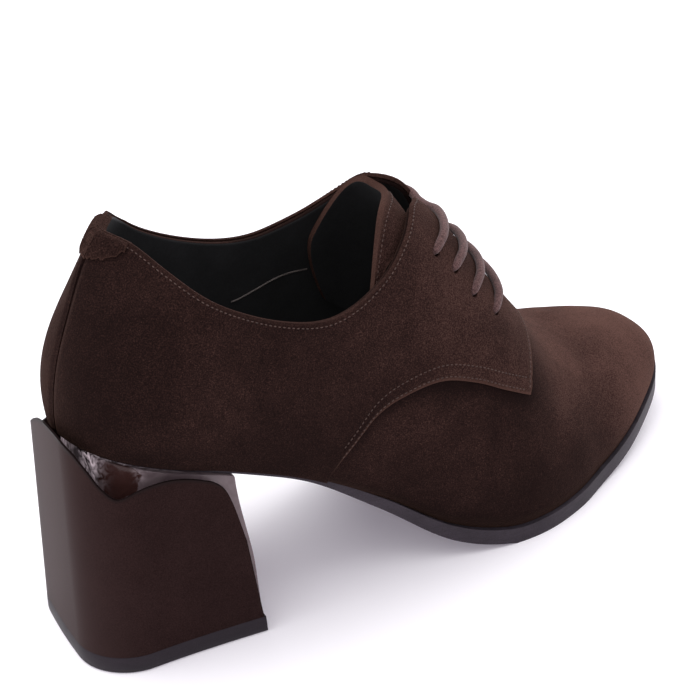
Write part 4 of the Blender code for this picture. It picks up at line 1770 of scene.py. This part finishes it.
@dataclass(frozen=True)
class Lacing:
    """The straight bars of the lace, each through its two punched holes."""

    radius: float = 1.4
    sides: int = 16
    clear: float = 3.15
    dip: float = 1.3
    leave: float = 1.7
    below: float = -4.0
    off_centre: float = 0.3
    outer_lead: float = 5.0
    outer_fade: float = 6.5
    inner_lead: float = 1.0
    inner_fade: float = 2.5
    bend: float = 0.2
    inside_points: int = 6
    over_points: int = 40
    smoothing: int = 3
    points: int = 110

    def lift(self, x: Array, turn: Array, side: Side) -> Array:
        """How far a bar's middle stands off the last: clear of the facings, lower between them.

        Args:
            x: Stations along the shoe.
            turn: Turns on the last.
            side: The side that they lie on.

        Returns:
            The lift at each place.
        """
        over = LAST.point(x, turn, side.value)[..., 1] - SECTIONS["axis"](x)
        from_outer = ease((-over - THROAT["outer"](x) + self.outer_lead) / self.outer_fade)
        from_inner = ease((over + self.inner_lead) / (THROAT["inner"](x) + self.inner_fade))
        return self.clear - self.dip * (1 - from_outer) * (1 - from_inner)

    def route(self, pair: Eyelet) -> Array:
        """Middle line of one bar, from under one hole over the throat to under the other.

        Args:
            pair: The bar's two holes.

        Returns:
            Points at even steps.
        """
        inside = self.inside_points
        c = np.concatenate((np.full(inside, 1.0), np.linspace(0.99, 0.0, self.over_points)))
        halves = []
        for side in Side:
            x = pair.crown + (pair.stations[side] + self.off_centre - pair.crown) * c * c
            turn = 1 - c * (1 - LAST.turn_at_width(x, side.value, pair.halves[side] - self.off_centre))
            high = self.lift(x, turn, side)
            lift = self.leave + (high - self.leave) * ease((1 - c) / self.bend)
            lift[:inside] = np.linspace(self.below, self.leave - 0.5, inside)
            halves.append(LAST.at(x, turn, side.value, lift))
        path = np.concatenate((halves[0], halves[1][::-1][1:]))
        for _ in range(self.smoothing):
            path[1:-1] = 0.25 * path[:-2] + 0.5 * path[1:-1] + 0.25 * path[2:]
        way = run_lengths(path, 0)
        even = np.linspace(0, way[-1], self.points)
        return np.stack([np.interp(even, way, path[:, k]) for k in range(3)], -1)

    def build(self, cord: Finish) -> list[Piece]:
        """The bars, from the top of the throat down.

        Args:
            cord: Finish of the lace.

        Returns:
            The pieces.
        """
        pieces = []
        for number, pair in enumerate(EYELETS.pairs(), start=1):
            bm = tube(self.route(pair), self.radius, self.sides)
            node = f"lace_bar_{number}"
            pieces.append(make_piece(f"lace_run_{number}", bm, [cord], (node,)))
        return pieces


@dataclass(frozen=True)
class Lamp:
    """A square soft light that faces the shoe, in metres and watts."""

    name: str
    place: tuple[float, float, float]
    size: float
    power: float
    aim: tuple[float, float, float] = (0.0, 0.0, 0.05)

    def hang(self) -> None:
        """Puts the light into the scene, turned to its aim."""
        light = bpy.data.lights.new(self.name, "AREA")
        light.shape = "SQUARE"
        light.size = self.size
        light.energy = self.power
        lamp = put_in_scene(self.name, light)
        lamp.location = self.place
        lamp.rotation_euler = (Vector(self.aim) - Vector(self.place)).to_track_quat("-Z", "Y").to_euler()


@dataclass(frozen=True)
class Studio:
    """The white floor, the soft lights and the camera."""

    bearing: float = 31.0
    elevation: float = 31.5
    roll: float = -4.0
    distance: float = 604.2
    focal_pixels: float = 1900.0
    frame_pixels: float = 700.0
    sensor: float = 36.0
    target: tuple[float, float, float] = (110.2, 0.0, 63.3)
    world_colour: Colour = (0.98, 0.95, 1.0)
    world_strength: float = 0.95
    floor_dark: Colour = (0.90, 0.90, 0.91)
    floor_light: Colour = (0.92, 0.92, 0.92)
    floor_glow: Colour = (0.92, 0.8, 1.0)
    floor_strength: float = 0.13
    lamps: tuple[Lamp, ...] = (
        Lamp("overhead", (-0.4, 0.3, 1.25), 1.4, 14.0),
        Lamp("toe_side", (1.1, 0.3, 0.7), 0.9, 7.0),
    )

    def build(self) -> None:
        """Sets the stage."""
        self.lay_floor()
        self.hang_lights()
        self.set_camera()

    def lay_floor(self) -> None:
        """The white floor."""
        bm = bmesh.new()
        bmesh.ops.create_grid(bm, x_segments=4, y_segments=4, size=4.0)
        mesh = finished("floor", bm)
        bench = Bench("white_floor")
        clouds = bench.noise(bench.mapped(), 3.0)
        bench.put(Base_Color=bench.ramp(clouds, (0.3, self.floor_dark), (0.7, self.floor_light)),
                  Roughness=0.9, Specular_IOR_Level=0.1, Emission_Color=self.floor_glow,
                  Emission_Strength=self.floor_strength)
        mesh.materials.append(bench.material)
        floor = put_in_scene("floor", mesh)

    def hang_lights(self) -> None:
        """Even light from all round, a large soft light above and one beyond the toe."""
        world = bpy.data.worlds.new("studio")
        world.use_nodes = True
        sky = world.node_tree.nodes["Background"]
        sky.inputs["Color"].default_value = (*self.world_colour, 1.0)
        sky.inputs["Strength"].default_value = self.world_strength
        bpy.context.scene.world = world
        for lamp in self.lamps:
            lamp.hang()

    def set_camera(self) -> None:
        """The camera, behind and above the shoe on its outer side."""
        bearing, elevation, roll = (math.radians(a) for a in (self.bearing, self.elevation, self.roll))
        away = Vector((-math.sin(bearing) * math.cos(elevation),
                       -math.cos(bearing) * math.cos(elevation), math.sin(elevation)))
        right = Vector((math.cos(bearing), -math.sin(bearing), 0.0))
        above = away.cross(right)
        tilted = right * math.cos(roll) + above * math.sin(roll)
        upright = above * math.cos(roll) - right * math.sin(roll)
        lens = bpy.data.cameras.new("photo_camera")
        lens.sensor_width = self.sensor
        lens.lens = self.focal_pixels / self.frame_pixels * self.sensor
        lens.clip_start = 0.01
        stand = Matrix((tilted, upright, away)).transposed().to_4x4()
        stand.translation = Vector(scene_places(np.array(self.target))) + away * self.distance * MM
        camera = put_in_scene("photo_camera", lens)
        camera.matrix_world = stand
        bpy.context.scene.camera = camera
        bpy.context.scene.view_settings.view_transform = "Standard"


def main() -> None:
    """Builds the shoe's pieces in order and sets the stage."""
    logging.basicConfig(level=logging.INFO, format="%(name)s: %(message)s")
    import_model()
    suede = Suede("vamp_suede").make()
    quarter_suede = Suede("quarter_suede", shift=0.31).make()
    tongue_suede = Suede("tongue_suede", shift=0.57).make()
    tab_suede = Suede("long_nap_suede", fibre=2000.0, depth=1.2, sheen=0.12, shift=0.83).make()
    lining = Lining("black_lining").make()
    sock = Lining("insole_cover", paint(22, 22, 23)).make()
    thread = Thread("sewing_thread").make()
    rubber = Rubber("sole_rubber").make()
    lift_rubber = Rubber("lift_rubber", paint(17, 14, 17), paint(33, 28, 33)).make()
    cover = HeelCover("heel_cover").make()
    clear = ClearCore("clear_core").make()
    cord = BraidedCord("lace_cord").make()
    punch = EYELETS.cutter()
    upper = Upper()
    EYELETS.punch(upper.build(suede, lining), punch)
    upper.build_lining_seam(Thread("lining_seam", paint(74, 68, 66), paint(112, 104, 100)).make())
    for side in Side:
        panel, _ = Quarter(side).build(quarter_suede, thread)
        EYELETS.punch(panel, punch)
    bpy.data.objects.remove(punch)
    Tongue().build(tongue_suede, lining, thread)
    BackTab().build(tab_suede)
    bottom = Bottom()
    bottom.build_outsole(rubber)
    bottom.build_insole(sock)
    heel = Heel()
    heel.build_shell(cover)
    heel.build_core(clear, bottom)
    heel.build_top_piece(lift_rubber)
    Lacing().build(cord)
    Studio().build()


if __name__ == "__main__":
    main()
